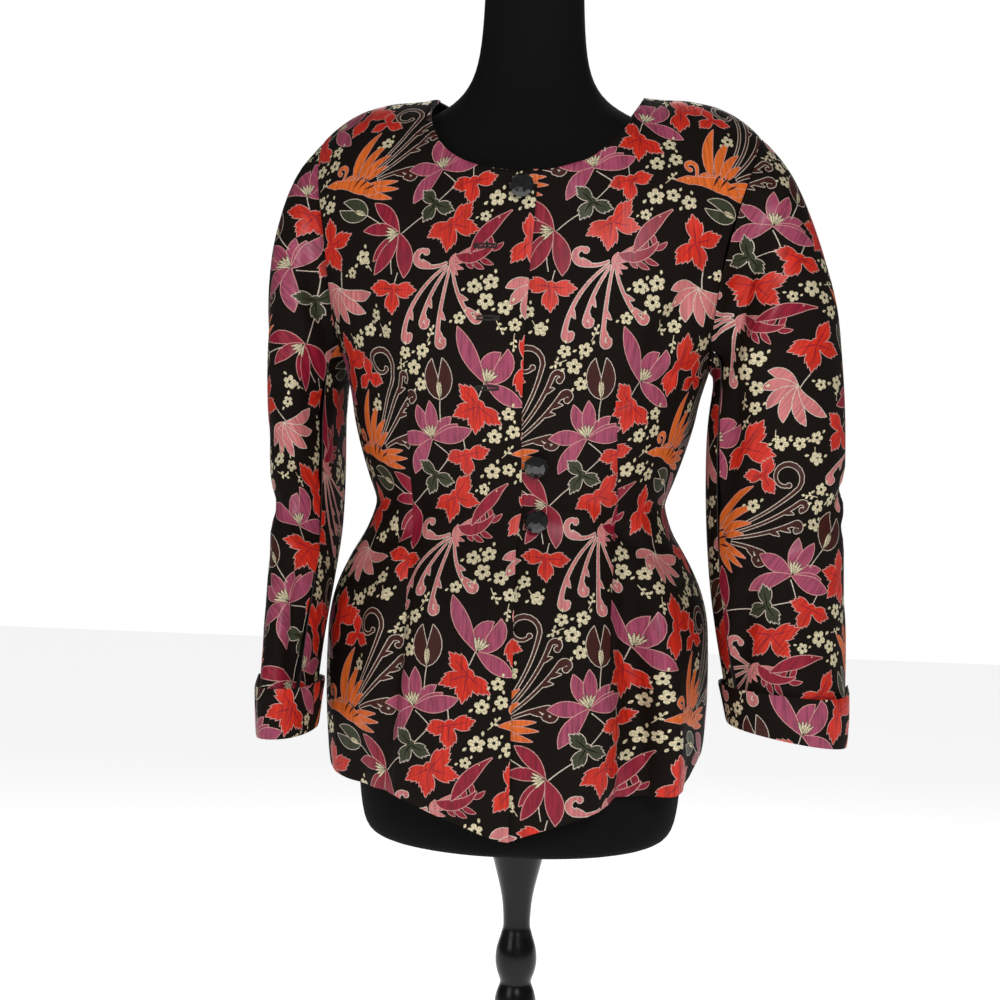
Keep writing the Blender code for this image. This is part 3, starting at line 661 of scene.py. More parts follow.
# Back of the jacket: one piece of brocade on the straight grain, shaped to the waist by two long darts
# that open into flutes below it. Sewn to the fronts at the shoulders and the sides.
SHARP = math.radians(45)
ROW_STEPS = 5            # fine rows between two rows of a solid's points
COLUMN_STEPS = 4
LEAST_COLUMNS = 4        # in a patch between two dart lines
TIE = 25.0               # how firmly both sides of a dart line stay together beyond the dart's ends
HOLD = 1e-9              # holds the flat cloth as a whole in its place
LATTICE = 0.006          # distance of the cloth's points inside large figures
LATTICE_ROW = 0.87       # distance of their rows, as a share of that
WELD = 1e-7              # places on the flat cloth that are nearer than this are one
WALL_DEPTH = 0.0017      # from the outer face of the cloth to its reverse
EDGE_ROLL = 0.0006       # how far the cloth turns in at its edges
SEAM_EASE = 0.0009       # how far the reverse stays back from the cut edge, so that seamed pieces lie free
GROOVE = (0.0011, 0.0024)    # depth and half width of a dart's stitched line
GROOVE_FADE = 0.02       # length in which it runs out at both ends
CREASE_FADE = 1.6        # how late a crease fades on cloth that turns away from where it is seen
UP = (0.0, 0.0, 1.0)
BAKE_MARGIN = 0.01
REVERSE_DARK = (0.010, 0.008, 0.006, 1)
REVERSE_WARM = (0.055, 0.020, 0.016, 1)

Dart = namedtuple("Dart", "x low high")
# A crease as seen from one side of the jacket: its middle, its slant from upright, length, half width and
# how far it stands out
Crease = namedtuple("Crease", "seen_from across z slant length half_width height")
SEEN_FROM = {"front": (0, -1, 0), "back": (0, 1, 0), "left": (1, 0, 0), "right": (-1, 0, 0)}
Patch = namedtuple("Patch", "points normals flat")


def smooth_side(face):
    """The faces that one face of a wall runs on into without a sharp edge."""
    side, waiting = {face}, [face]
    while waiting:
        for edge in waiting.pop().edges:
            for other in edge.link_faces:
                if other not in side and edge.calc_face_angle(0.0) < SHARP:
                    side.add(other)
                    waiting.append(other)
    return side


def wall_face(node, columns, start, row_end):
    """The outer points of a cloth wall as rows from its start corner, and which way they face.

    The wall's triangles are walked square by square from its first row and its first column."""
    wall = bmesh.new()
    wall.from_mesh(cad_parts[node].data)
    bmesh.ops.remove_doubles(wall, verts=wall.verts, dist=MERGE)
    wall.verts.index_update()
    places = np.array([vertex.co for vertex in wall.verts])
    corner = min(wall.verts, key=lambda vertex: (vertex.co - Vector(start)).length)
    sides = map(smooth_side, corner.link_faces)
    side = max(sides, key=lambda faces: sum(face.calc_area() for face in faces))
    reached = {vertex for face in side for vertex in face.verts}
    outer = {face for face in wall.faces if reached.issuperset(face.verts)}
    across = {}
    for face in outer:
        for loop in face.loops:
            edge = frozenset((loop.vert.index, loop.link_loop_next.vert.index))
            across.setdefault(edge, []).append(loop.link_loop_prev.vert.index)
    outward = sum((face.normal * face.calc_area() for face in corner.link_faces if face in outer), Vector())
    beside = {}
    for edge, thirds in across.items():
        if len(thirds) == 1:
            for vertex in edge:
                beside.setdefault(vertex, []).extend(edge - {vertex})
    rim = [corner.index, beside[corner.index][0]]
    while rim[-1] != corner.index:
        rim.append(next(vertex for vertex in beside[rim[-1]] if vertex != rim[-2]))
    rim.pop()
    wall.free()
    ends = [np.linalg.norm(places[rim[k]] - row_end) for k in (columns - 1, 1 - columns)]
    if ends[1] < ends[0]:
        rim = rim[:1] + rim[:0:-1]
    rows = len(rim) // 2 + 2 - columns
    grid = np.zeros((rows, columns), int)
    grid[0] = rim[:columns]
    grid[1:, 0] = rim[:0:-1][:rows - 1]
    for i in range(1, rows):
        for j in range(columns - 1):
            above, ahead, here = grid[i - 1, j], grid[i - 1, j + 1], grid[i, j]
            behind = {grid[i - 1, j - 1], grid[i, j - 1]} if j else set()
            third = (set(across[frozenset((above, here))]) - behind).pop()
            if third == ahead:
                third = (set(across[frozenset((here, ahead))]) - {above}).pop()
            grid[i, j + 1] = third
    points = places[grid]
    side = np.dot(np.cross(points[1, 0] - points[0, 0], points[0, 1] - points[0, 0]), outward)
    return points, math.copysign(1.0, side)


def facing(points, side):
    """The outward normals of a grid of points."""
    return side * unit(np.cross(np.gradient(points, axis=0), np.gradient(points, axis=1)))


def split_at_darts(points, darts):
    """A panel's points as patches from one dart line to the next."""
    columns = np.arange(points.shape[1])
    cuts = []
    for dart in darts:
        cut = []
        for row in points[..., 0]:
            order = np.argsort(row)
            cut.append(np.interp(dart.x, row[order], columns[order]))
        cuts.append(np.array(cut))
    first, last = np.zeros(len(points)), np.full(len(points), columns[-1])
    cuts = [first, *sorted(cuts, key=np.mean), last]
    patches = []
    for left, right in zip(cuts, cuts[1:]):
        count = max(LEAST_COLUMNS, round(float(np.mean(right - left)))) + 1
        at = left[:, None] + (right - left)[:, None] * np.linspace(0, 1, count)
        patches.append(np.stack([read_at(row, places) for row, places in zip(points, at)]))
    return patches


def lay_flat(patches, side, grain, darts):
    """Where the points of a panel lie on the flat cloth: across the grain and along it, in metres.

    Every stretch between two neighbours keeps its length and its angle to the grain as well as all can."""
    numbers, count = [], 0
    for points in patches:
        numbers.append(count + np.arange(points[..., 0].size).reshape(points.shape[:2]))
        count = numbers[-1][-1, -1] + 1
    places = np.concatenate([points.reshape(-1, 3) for points in patches])
    normals = np.concatenate([facing(points, side).reshape(-1, 3) for points in patches])
    pairs = [(n[:-1], n[1:]) for n in numbers] + [(n[:, :-1], n[:, 1:]) for n in numbers]
    first, second = (np.concatenate([end.ravel() for end in ends]) for ends in zip(*pairs))
    out = unit(normals[first] + normals[second])
    across = np.cross(np.broadcast_to(unit(np.array(grain)), out.shape), out)
    weight = np.linalg.norm(across, axis=1, keepdims=True)
    across = across / weight
    stretch = places[second] - places[first]
    along = np.cross(out, across)
    wanted = np.stack([(stretch * way).sum(axis=1) for way in (across, along)], axis=1) * weight
    equations = np.zeros((len(first), count))
    equations[np.arange(len(first)), second] = weight[:, 0]
    equations[np.arange(len(first)), first] = -weight[:, 0]
    ties = []
    way = np.sign(patches[0][0, -1, 0] - patches[0][0, 0, 0])
    for k, dart in enumerate(sorted(darts, key=lambda dart: dart.x * way)):
        heights = patches[k][:, -1, 2]
        for row in np.flatnonzero((heights < dart.low) | (heights > dart.high)):
            tie = np.zeros(count)
            tie[numbers[k][row, -1]], tie[numbers[k + 1][row, 0]] = TIE, -TIE
            ties.append(tie)
    equations = np.vstack([equations] + ties) if ties else equations
    wanted = np.vstack([wanted, np.zeros((len(ties), 2))])
    square = equations.T @ equations + HOLD * np.eye(count)
    flat = np.linalg.solve(square, equations.T @ wanted)
    return [flat[n] for n in numbers]


def crease_heights(points, normals, creases):
    """How far the creases lift each point of a patch off its smooth form."""
    lift = np.zeros(points.shape[:2])
    for crease in creases:
        seen = np.array(SEEN_FROM[crease.seen_from])
        across = points[..., 0] if seen[1] else points[..., 1]
        slant = math.radians(crease.slant)
        dx, dz = across - crease.across, points[..., 2] - crease.z
        along = dx * math.sin(slant) + dz * math.cos(slant)
        aside = dx * math.cos(slant) - dz * math.sin(slant)
        shape = np.exp(-(aside / crease.half_width) ** 2 - (2 * along / crease.length) ** 2)
        lift += crease.height * shape * np.clip(CREASE_FADE * (normals @ seen), 0, 1)
    return lift


def drape(patches, flats, side, darts, creases):
    """Fine patches of a panel with its creases, dart lines and turned edges."""
    fine = []
    for k, (points, flat) in enumerate(zip(patches, flats)):
        rows, columns = ((n - 1) * step + 1 for n, step in zip(points.shape[:2], (ROW_STEPS, COLUMN_STEPS)))
        points = smooth_along(smooth_along(points, rows), columns, axis=1)
        flat = smooth_along(smooth_along(flat, rows), columns, axis=1)
        normals = facing(points, side)
        lift = crease_heights(points, normals, creases)
        lift[0] -= EDGE_ROLL
        lift[-1] -= EDGE_ROLL
        if k == 0:
            lift[:, 0] -= EDGE_ROLL
        if k == len(patches) - 1:
            lift[:, -1] -= EDGE_ROLL
        for dart in darts:
            height = points[..., 2]
            ends = np.minimum(height - dart.low, dart.high - height)
            stitched = np.clip(ends / GROOVE_FADE, 0, 1)
            lift -= GROOVE[0] * stitched * np.exp(-((points[..., 0] - dart.x) / GROOVE[1]) ** 2)
        points = points + normals * lift[..., None]
        fine.append(Patch(points, facing(points, side), flat))
    return fine


def rim_of(grid):
    """The outline of a grid, once round."""
    return np.concatenate([grid[0, :-1], grid[:-1, -1], grid[-1, :0:-1], grid[:0:-1, 0]])


def wound_round(outline, places):
    """Which places an outline runs round."""
    (ax, ay), (bx, by) = outline.T[..., None], np.roll(outline, -1, axis=0).T[..., None]
    x, y = places.T[:, None]
    left = (bx - ax) * (y - ay) - (x - ax) * (by - ay)
    upward = (ay <= y) & (by > y) & (left > 0)
    downward = (ay > y) & (by <= y) & (left < 0)
    return upward.sum(axis=0) != downward.sum(axis=0)


def woven_places(flat, ground):
    """The flat cloth of a patch cut along the outlines of the figures: points and triangles."""
    outline = rim_of(flat)
    low, high = outline.min(axis=0), outline.max(axis=0)
    repeat = np.array(REPEAT) * MM
    points = [outline]
    edges = [np.stack([np.arange(len(outline)), np.roll(np.arange(len(outline)), -1)], axis=1)]
    count = len(outline)
    for shape, _ in figures:
        shape = shape * MM
        first = np.ceil((low - shape.max(axis=0)) / repeat).astype(int)
        last = np.floor((high - shape.min(axis=0)) / repeat).astype(int)
        for i in range(first[0], last[0] + 1):
            for j in range(first[1], last[1] + 1):
                moved = shape + repeat * (i, j)
                if not any(ground.find_nearest((u, v, 0.0), LATTICE)[0] for u, v in moved[::2]):
                    continue
                ring = count + np.arange(len(shape))
                points.append(moved)
                edges.append(np.stack([ring, np.roll(ring, -1)], axis=1))
                count += len(shape)
    across = np.arange(low[0], high[0], LATTICE)
    along = np.arange(low[1], high[1], LATTICE * LATTICE_ROW)
    points.append(np.array([(u + LATTICE / 2 * (k % 2), v) for k, v in enumerate(along) for u in across]))
    corners = [Vector(place) for place in np.concatenate(points)]
    made = delaunay_2d_cdt(corners, np.concatenate(edges).tolist(), [], 0, WELD)
    places, triangles = np.array(made[0]), np.array(made[2])
    middles = places[triangles].mean(axis=1)
    inside = [ground.find_nearest((u, v, 0.0), WELD)[0] is not None for u, v in middles]
    used, triangles = np.unique(triangles[inside], return_inverse=True)
    return places[used], triangles.reshape(-1, 3)


def dyes_at(places):
    """The yarn that shows at each place of the flat cloth, as a number in the list of dyes."""
    names = list(DYES)
    repeat = np.array(REPEAT)
    folded = np.mod(places / MM, repeat)
    order = np.argsort(folded[:, 0])
    folded = folded[order]
    found = np.zeros(len(places), int)
    for shape, dye in figures:
        least, most = shape.min(axis=0), shape.max(axis=0)
        first = np.ceil(-most / repeat).astype(int)
        last = np.floor((repeat - least) / repeat).astype(int)
        for i in range(first[0], last[0] + 1):
            ends = [least[0] + repeat[0] * i, most[0] + repeat[0] * i]
            start, end = np.searchsorted(folded[:, 0], ends)
            for j in range(first[1], last[1] + 1):
                moved = folded[start:end] - repeat * (i, j)
                near = np.flatnonzero((moved[:, 1] > least[1]) & (moved[:, 1] < most[1]))
                if len(near):
                    found[start + near[wound_round(shape, moved[near])]] = names.index(dye)
    shown = np.zeros(len(places), int)
    shown[order] = found
    return shown


def flat_ground(flat):
    """The flat cloth of a patch as triangles of its grid, and a search tree on them."""
    rows, columns = flat.shape[:2]
    grid = np.arange(rows * columns).reshape(rows, columns)
    a, b, c, d = (corners.ravel() for corners in (grid[:-1, :-1], grid[:-1, 1:], grid[1:, 1:], grid[1:, :-1]))
    triangles = np.concatenate([np.stack([a, b, c], axis=1), np.stack([a, c, d], axis=1)])
    lifted = np.pad(flat.reshape(-1, 2), ((0, 0), (0, 1)))
    return triangles, BVHTree.FromPolygons(lifted.tolist(), triangles.tolist())


def onto_patch(patch, triangles, ground, places):
    """Points of the draped cloth, and its normals there, for places on the flat cloth."""
    flat = patch.flat.reshape(-1, 2)
    hits = triangles[[ground.find_nearest((u, v, 0.0))[2] for u, v in places]]
    p, q, r = flat[hits].transpose(1, 0, 2)
    shares = np.stack([np.cross(a - places, b - places) for a, b in ((q, r), (r, p), (p, q))], axis=1)
    shares = np.clip(shares / np.cross(q - p, r - p)[:, None], 0, 1)
    shares = (shares / shares.sum(axis=1, keepdims=True))[..., None]
    points = (patch.points.reshape(-1, 3)[hits] * shares).sum(axis=1)
    normals = (patch.normals.reshape(-1, 3)[hits] * shares).sum(axis=1)
    return points, unit(normals)


def new_mesh_piece(name, points, faces):
    mesh = bpy.data.meshes.new(name)
    mesh.from_pydata(np.asarray(points).tolist(), [], [tuple(map(int, face)) for face in faces])
    piece = bpy.data.objects.new(name, mesh)
    bpy.context.scene.collection.objects.link(piece)
    return piece


def outer_sheet(name, patches):
    """The outer face of a panel, its figures cut into it and coloured."""
    flats, triangles, points, normals, count = [], [], [], [], 0
    for patch in patches:
        squares, ground = flat_ground(patch.flat)
        places, faces = woven_places(patch.flat, ground)
        on, out = onto_patch(patch, squares, ground, places)
        flats.append(places)
        triangles.append(faces + count)
        points.append(on)
        normals.append(out)
        count += len(places)
    flats, triangles = np.concatenate(flats), np.concatenate(triangles)
    points, normals = np.concatenate(points), np.concatenate(normals)
    first, second, third = points[triangles].transpose(1, 0, 2)
    out = np.cross(second - first, third - first)
    turned = (out * normals[triangles[:, 0]]).sum(axis=1) < 0
    triangles[turned] = triangles[turned][:, ::-1]
    piece = new_mesh_piece(name, points, triangles)
    mesh = piece.data
    shown = dyes_at(flats[triangles].mean(axis=1))
    colours = np.array([(*linear(dye), 1.0) for dye in DYES])
    mesh.attributes.new("dye", "FLOAT_COLOR", "FACE").data.foreach_set("color", colours[shown].ravel())
    for sheen, yarns in (("satin", SATIN), ("lurex", LUREX)):
        shares = np.array([yarns.get(dye, 0.0) for dye in DYES])
        mesh.attributes.new(sheen, "FLOAT", "FACE").data.foreach_set("value", shares[shown])
    low = flats.min(axis=0)
    scale = (1 - 2 * BAKE_MARGIN) / (flats.max(axis=0) - low).max()
    corners = triangles.ravel()
    for layer, places in (("OFBake", BAKE_MARGIN + (flats - low) * scale), ("weave", flats)):
        mesh.uv_layers.new(name=layer).data.foreach_set("uv", places[corners].ravel())
    mesh.shade_smooth()
    mesh.normals_split_custom_set_from_vertices(normals.tolist())
    return piece


def reverse_sheet(name, patches):
    """The reverse of a panel with the cut edge round it."""
    points, faces, count = [], [], 0
    for k, patch in enumerate(patches):
        rows, columns = patch.points.shape[:2]
        inner = count + np.arange(rows * columns).reshape(rows, columns)
        outer = inner + rows * columns
        count += 2 * rows * columns
        inside = patch.points - WALL_DEPTH * patch.normals
        inside[0] += SEAM_EASE * unit(inside[1] - inside[0])
        inside[-1] += SEAM_EASE * unit(inside[-2] - inside[-1])
        if k == 0:
            inside[:, 0] += SEAM_EASE * unit(inside[:, 1] - inside[:, 0])
        if k == len(patches) - 1:
            inside[:, -1] += SEAM_EASE * unit(inside[:, -2] - inside[:, -1])
        points += [inside.reshape(-1, 3), patch.points.reshape(-1, 3)]
        squares = [inner[:-1, :-1], inner[1:, :-1], inner[1:, 1:], inner[:-1, 1:]]
        faces.append(np.stack(squares, axis=-1).reshape(-1, 4))
        edges = [(inner[0], outer[0]), (outer[-1], inner[-1])]
        if k == 0:
            edges.append((outer[:, 0], inner[:, 0]))
        if k == len(patches) - 1:
            edges.append((inner[:, -1], outer[:, -1]))
        for below, above in edges:
            faces.append(np.stack([below[:-1], below[1:], above[1:], above[:-1]], axis=-1))
    points, faces = np.concatenate(points), np.concatenate(faces)
    used, faces = np.unique(faces, return_inverse=True)
    piece = new_mesh_piece(name, points[used], faces.reshape(-1, 4))
    mesh = piece.data
    shape = bmesh.new()
    shape.from_mesh(mesh)
    bmesh.ops.remove_doubles(shape, verts=shape.verts, dist=MERGE)
    shape.normal_update()
    near = Vector(patches[0].points[1, 1])
    first = min(shape.faces, key=lambda face: (face.calc_center_median() - near).length)
    bmesh.ops.recalc_face_normals(shape, faces=shape.faces)
    if first.normal.dot(Vector(patches[0].normals[0, 0])) > 0:
        bmesh.ops.reverse_faces(shape, faces=shape.faces)
    shape.to_mesh(mesh)
    shape.free()
    mesh.shade_smooth()
    mesh.set_sharp_from_angle(angle=SHARP)
    return piece


def reverse_finish():
    """The reverse of the brocade: dark, with the colours of the loose floats showing faintly."""
    finish, surface, wire = new_finish("brocade_reverse", Sheen_Weight=0.1, Sheen_Roughness=0.5)
    place = wire.node("TexCoord", output="Object")
    floats = place.stretched(1.0, 1.0, 0.25).noise(70.0, 4.0, 0.6)
    wire.plug(surface.inputs["Base Color"], floats.between(0.52, 0.72).blend(REVERSE_DARK, REVERSE_WARM))
    wire.plug(surface.inputs["Roughness"], 0.70 + 0.2 * floats)
    wire.plug(surface.inputs["Normal"], place.noise(1500.0, 2.0, 0.5).bump(0.3, 0.0004))
    return finish


reverse = reverse_finish()


def sew_panel(node, columns, start, row_end, pin, on_repeat, grain=UP, turn=0.0,
              darts=(), creases=()):
    """Makes one cut piece: its outer face and its reverse, with the size that it is cut to.

    The pin is a place on the jacket, and on_repeat the place in the woven repeat that lies there. The turn
    is how far the repeat is turned to the left of the grain, in degrees, on a piece cut on the cross."""
    points, side = wall_face(node, columns, start, row_end)
    patches = split_at_darts(points, darts)
    patches = drape(patches, lay_flat(patches, side, grain, darts), side, darts, creases)
    places = np.concatenate([patch.points.reshape(-1, 3) for patch in patches])
    flats = np.concatenate([patch.flat.reshape(-1, 2) for patch in patches])
    cosine, sine = math.cos(math.radians(turn)), math.sin(math.radians(turn))
    turned = np.array([[cosine, -sine], [sine, cosine]])
    shift = np.array(on_repeat) * MM - flats[np.linalg.norm(places - pin, axis=1).argmin()] @ turned
    patches = [patch._replace(flat=patch.flat @ turned + shift) for patch in patches]
    sheet = outer_sheet(node + "_brocade", patches)
    back = reverse_sheet(node + "_reverse", patches)
    finish_piece(sheet, brocade, "brocade", node)
    finish_piece(back, reverse, "brocade")
    return patches


BACK_DARTS = [Dart(-0.094, 0.900, 1.170), Dart(0.086, 0.900, 1.170)]
BACK_CREASES = [
    Crease("back", -0.125, 1.215, 24, 0.130, 0.011, -0.0040),
    Crease("back", 0.130, 1.205, -30, 0.110, 0.010, -0.0036),
    Crease("back", -0.045, 1.075, 74, 0.110, 0.009, 0.0022),
    Crease("back", 0.040, 1.058, -80, 0.130, 0.010, 0.0024),
    Crease("back", 0.012, 1.030, 86, 0.090, 0.008, -0.0020),
    Crease("back", -0.090, 0.930, 6, 0.200, 0.013, -0.0045),
    Crease("back", 0.082, 0.915, -5, 0.180, 0.012, -0.0042),
    Crease("back", -0.020, 0.860, 3, 0.150, 0.018, 0.0030),
    Crease("back", 0.148, 1.020, 62, 0.070, 0.008, -0.0030),
    Crease("back", -0.150, 1.012, -58, 0.080, 0.008, -0.0032),
]
sew_panel("back", 27, (-0.1834, 0.0001, 0.8119), (0.1754, 0.0001, 0.8119), (0.0, 0.11, 1.25), (96, 120),
          darts=BACK_DARTS, creases=BACK_CREASES)

# Fronts: each cut in one from shoulder to hem, with one long waist dart that opens into a flute. The
# wearer's right front laps over the left one, and both end in a shared point at the hem.
FRONT_RIGHT_CREASES = [
    Crease("front", -0.135, 1.215, -32, 0.120, 0.010, -0.0057),
    Crease("front", -0.118, 1.160, -58, 0.090, 0.008, -0.0038),
    Crease("front", -0.112, 1.010, 55, 0.080, 0.007, -0.0049),
    Crease("front", -0.062, 1.030, 80, 0.080, 0.008, 0.0024),
    Crease("front", -0.030, 1.062, -84, 0.060, 0.007, -0.0022),
    Crease("front", -0.098, 0.895, 5, 0.240, 0.009, -0.0105),
    Crease("front", -0.055, 0.850, -3, 0.170, 0.016, 0.0046),
    Crease("front", -0.130, 0.880, 9, 0.170, 0.014, 0.0043),
    Crease("front", -0.004, 0.965, 2, 0.110, 0.009, 0.0022),
    Crease("front", -0.016, 1.240, -12, 0.080, 0.009, 0.0019),
    Crease("front", -0.080, 1.330, 20, 0.090, 0.011, -0.0027),
]
FRONT_LEFT_CREASES = [
    Crease("front", 0.150, 1.220, 30, 0.130, 0.010, -0.0093),
    Crease("front", 0.122, 1.150, 62, 0.080, 0.008, -0.0057),
    Crease("front", 0.118, 1.012, -52, 0.090, 0.007, -0.0081),
    Crease("front", 0.058, 1.040, -78, 0.080, 0.008, 0.0041),
    Crease("front", 0.120, 0.868, -6, 0.270, 0.011, -0.0140),
    Crease("front", 0.148, 0.862, -8, 0.250, 0.012, 0.0100),
    Crease("front", 0.060, 0.860, 4, 0.160, 0.016, 0.0061),
    Crease("front", 0.075, 1.335, -18, 0.100, 0.011, -0.0045),
]
front_right = sew_panel(
    "front_right", 19, (-0.1834, -0.0002, 0.8119), (0.013, -0.1525, 0.7488), (-0.0289, -0.133, 1.2712),
    (110, 170), darts=[Dart(-0.093, 0.900, 1.165)], creases=FRONT_RIGHT_CREASES)
sew_panel(
    "front_left", 19, (-0.021, -0.1493, 0.7581), (0.1754, -0.0002, 0.8119), (0.1147, -0.118, 1.2733),
    (110, 170), darts=[Dart(0.098, 0.900, 1.165)], creases=FRONT_LEFT_CREASES)

# Buttonholes: three level slits in the right front, bound all round with dark twist stitched over the
# edge. They are worn closed, as the jacket hangs.
BUTTONHOLES = [(-0.0192, -0.1329, 1.2748), (-0.0159, -0.1452, 1.2107), (-0.0152, -0.1424, 1.1486)]
SLIT_LENGTH = 0.019
STITCH = (0.0024, 0.00042)   # length and radius
STITCHES_A_SIDE = 23
SLIT_LIP = 0.00045       # half of the slit's opening in its middle
BAR_LENGTH = 0.0012      # of the stitches across the slit's ends
BAR_STITCHES = (-0.0016, -0.0008, 0.0, 0.0008, 0.0016)
STITCH_SIDES = 6
STITCH_SWELL = ((0.0, 0.35), (0.2, 0.9), (0.5, 1.0), (0.8, 0.9), (1.0, 0.35))    # places along, thickness
STITCH_STANDS_OUT = 0.6  # height of a stitch's middle over the cloth, in radii
TWIST_DARK = (0.005, 0.004, 0.003, 1)
TWIST_RUBBED = (0.018, 0.013, 0.010, 1)


def stitch(start, end, out, radius):
    """One bound stitch, a small roll of twist along a line that stands out of the cloth in its middle."""
    ahead = end - start
    side = unit(np.cross(out, ahead))
    t = np.linspace(0, 2 * math.pi, STITCH_SIDES, endpoint=False)
    rings = []
    for along, swell in STITCH_SWELL:
        middle = start + ahead * along + out * radius * STITCH_STANDS_OUT * swell
        rings.append(middle + radius * swell * (np.cos(t)[:, None] * side + np.sin(t)[:, None] * out))
    ring = np.arange(STITCH_SIDES)
    last = (len(rings) - 1) * STITCH_SIDES
    faces = [(k + a, k + b, k + STITCH_SIDES + b, k + STITCH_SIDES + a)
             for k in range(0, last, STITCH_SIDES) for a, b in zip(ring, np.roll(ring, -1))]
    return np.concatenate(rings), faces + [tuple(ring[::-1]), tuple(last + ring)]


def twist_finish():
    """Buttonhole twist: a dark, slightly shiny cord whose ply shows."""
    finish, surface, wire = new_finish("buttonhole_twist", Sheen_Weight=0.05)
    place = wire.node("TexCoord", output="Object")
    plies = place.stretched(1.0, 1.0, 2.0).noise(1400.0, 2.0, 0.6)
    wire.plug(surface.inputs["Base Color"], plies.between(0.4, 0.7).blend(TWIST_DARK, TWIST_RUBBED))
    wire.plug(surface.inputs["Roughness"], 0.45 + 0.3 * plies)
    wire.plug(surface.inputs["Normal"], plies.bump(0.3, 0.0002))
    return finish


points, faces = [], []
for place in BUTTONHOLES:
    patch = min(front_right, key=lambda patch: np.linalg.norm(patch.points - place, axis=-1).min())
    i, j = np.unravel_index(np.linalg.norm(patch.points - place, axis=-1).argmin(), patch.points.shape[:2])
    middle, out = patch.points[i, j], patch.normals[i, j]
    level = unit(np.cross(UP, out))
    rise = np.cross(out, level)
    lines = []
    for along in np.linspace(-SLIT_LENGTH / 2, SLIT_LENGTH / 2, STITCHES_A_SIDE):
        lip = SLIT_LIP * (1 - (2 * along / SLIT_LENGTH) ** 2)
        for way in (1, -1):
            lines.append((along, way * lip, along, way * (lip + STITCH[0])))
    for end in (-1, 1):
        for above in BAR_STITCHES:
            lines.append((end * SLIT_LENGTH / 2, above, end * (SLIT_LENGTH / 2 + BAR_LENGTH), above))
    for along, above, far_along, far_above in lines:
        ends = [middle + level * u + rise * v for u, v in ((along, above), (far_along, far_above))]
        roll, roll_faces = stitch(*ends, out, STITCH[1])
        faces.extend(tuple(len(points) + k for k in face) for face in roll_faces)
        points.extend(roll)
buttonholes = new_mesh_piece("buttonhole_stitches", points, faces)
buttonholes.data.shade_smooth()
finish_piece(buttonholes, twist_finish(), "brocade")

# Sleeves: two-piece sleeves with a full head over a shoulder pad, set into the armholes. The under
# piece is the narrow one towards the body.
LEFT_GRAIN = (-0.125, 0.06, 0.99)
RIGHT_GRAIN = (0.02, 0.26, 0.965)
LEFT_CREASES = [
    Crease("front", 0.204, 1.240, 14, 0.130, 0.012, -0.0120),
    Crease("front", 0.222, 1.205, 30, 0.120, 0.011, 0.0075),
    Crease("front", 0.196, 1.115, 4, 0.170, 0.011, -0.0090),
    Crease("front", 0.225, 1.075, 58, 0.090, 0.010, -0.0066),
    Crease("front", 0.262, 1.030, 70, 0.080, 0.009, -0.0054),
    Crease("front", 0.235, 0.995, 64, 0.100, 0.011, 0.0054),
    Crease("front", 0.212, 0.930, 6, 0.140, 0.010, -0.0075),
    Crease("front", 0.262, 0.915, -10, 0.110, 0.013, 0.0045),
    Crease("left", 0.030, 1.150, 12, 0.160, 0.012, -0.0075),
    Crease("left", -0.020, 1.060, 66, 0.090, 0.010, -0.0069),
    Crease("left", 0.010, 1.020, -72, 0.080, 0.009, -0.0057),
    Crease("left", 0.000, 0.940, 20, 0.100, 0.012, 0.0045),
    Crease("back", 0.215, 1.220, -16, 0.140, 0.012, -0.0105),
    Crease("back", 0.235, 1.060, -60, 0.090, 0.010, -0.0066),
    Crease("back", 0.250, 1.010, -66, 0.080, 0.009, -0.0054),
    Crease("back", 0.220, 0.930, -4, 0.130, 0.011, -0.0060),
]
RIGHT_CREASES = [
    Crease("front", -0.190, 1.275, -12, 0.140, 0.012, -0.0120),
    Crease("front", -0.205, 1.215, -26, 0.110, 0.011, 0.0069),
    Crease("front", -0.185, 1.120, -6, 0.150, 0.010, -0.0084),
    Crease("front", -0.205, 1.085, -56, 0.080, 0.009, -0.0063),
    Crease("front", -0.212, 1.040, -66, 0.070, 0.009, -0.0054),
    Crease("front", -0.190, 1.000, -62, 0.080, 0.010, 0.0051),
    Crease("front", -0.182, 0.915, -3, 0.160, 0.009, -0.0090),
    Crease("front", -0.205, 0.900, 8, 0.100, 0.010, 0.0039),
    Crease("right", -0.030, 1.130, -14, 0.160, 0.012, -0.0075),
    Crease("right", -0.060, 1.050, 60, 0.090, 0.010, -0.0072),
    Crease("right", -0.050, 1.010, 70, 0.080, 0.009, -0.0060),
    Crease("right", -0.100, 0.930, 24, 0.100, 0.012, 0.0045),
    Crease("back", -0.205, 1.230, 15, 0.140, 0.012, -0.0105),
    Crease("back", -0.210, 1.070, 58, 0.090, 0.010, -0.0066),
    Crease("back", -0.200, 0.950, 6, 0.130, 0.011, -0.0060),
]
sew_panel(
    "sleeve_left_upper", 17, (0.1756, 0.0407, 1.1894), (0.1762, -0.0478, 1.1893), (0.2312, -0.0618, 1.3015),
    (66, 254), grain=LEFT_GRAIN, turn=-40, creases=LEFT_CREASES)
sew_panel(
    "sleeve_left_under", 5, (0.1761, -0.0473, 1.1888), (0.1756, 0.0403, 1.1889), (0.18, 0.0, 1.0),
    (20, 40), grain=LEFT_GRAIN, turn=-50)
sew_panel(
    "sleeve_right_upper", 17, (-0.1742, 0.0407, 1.1894), (-0.1748, -0.0478, 1.1893), (-0.19, -0.085, 1.186),
    (29, 188), grain=RIGHT_GRAIN, turn=40, creases=RIGHT_CREASES)
sew_panel(
    "sleeve_right_under", 5, (-0.1747, -0.0473, 1.1888), (-0.1742, 0.0403, 1.1889), (-0.17, -0.05, 1.0),
    (60, 90), grain=RIGHT_GRAIN, turn=50)

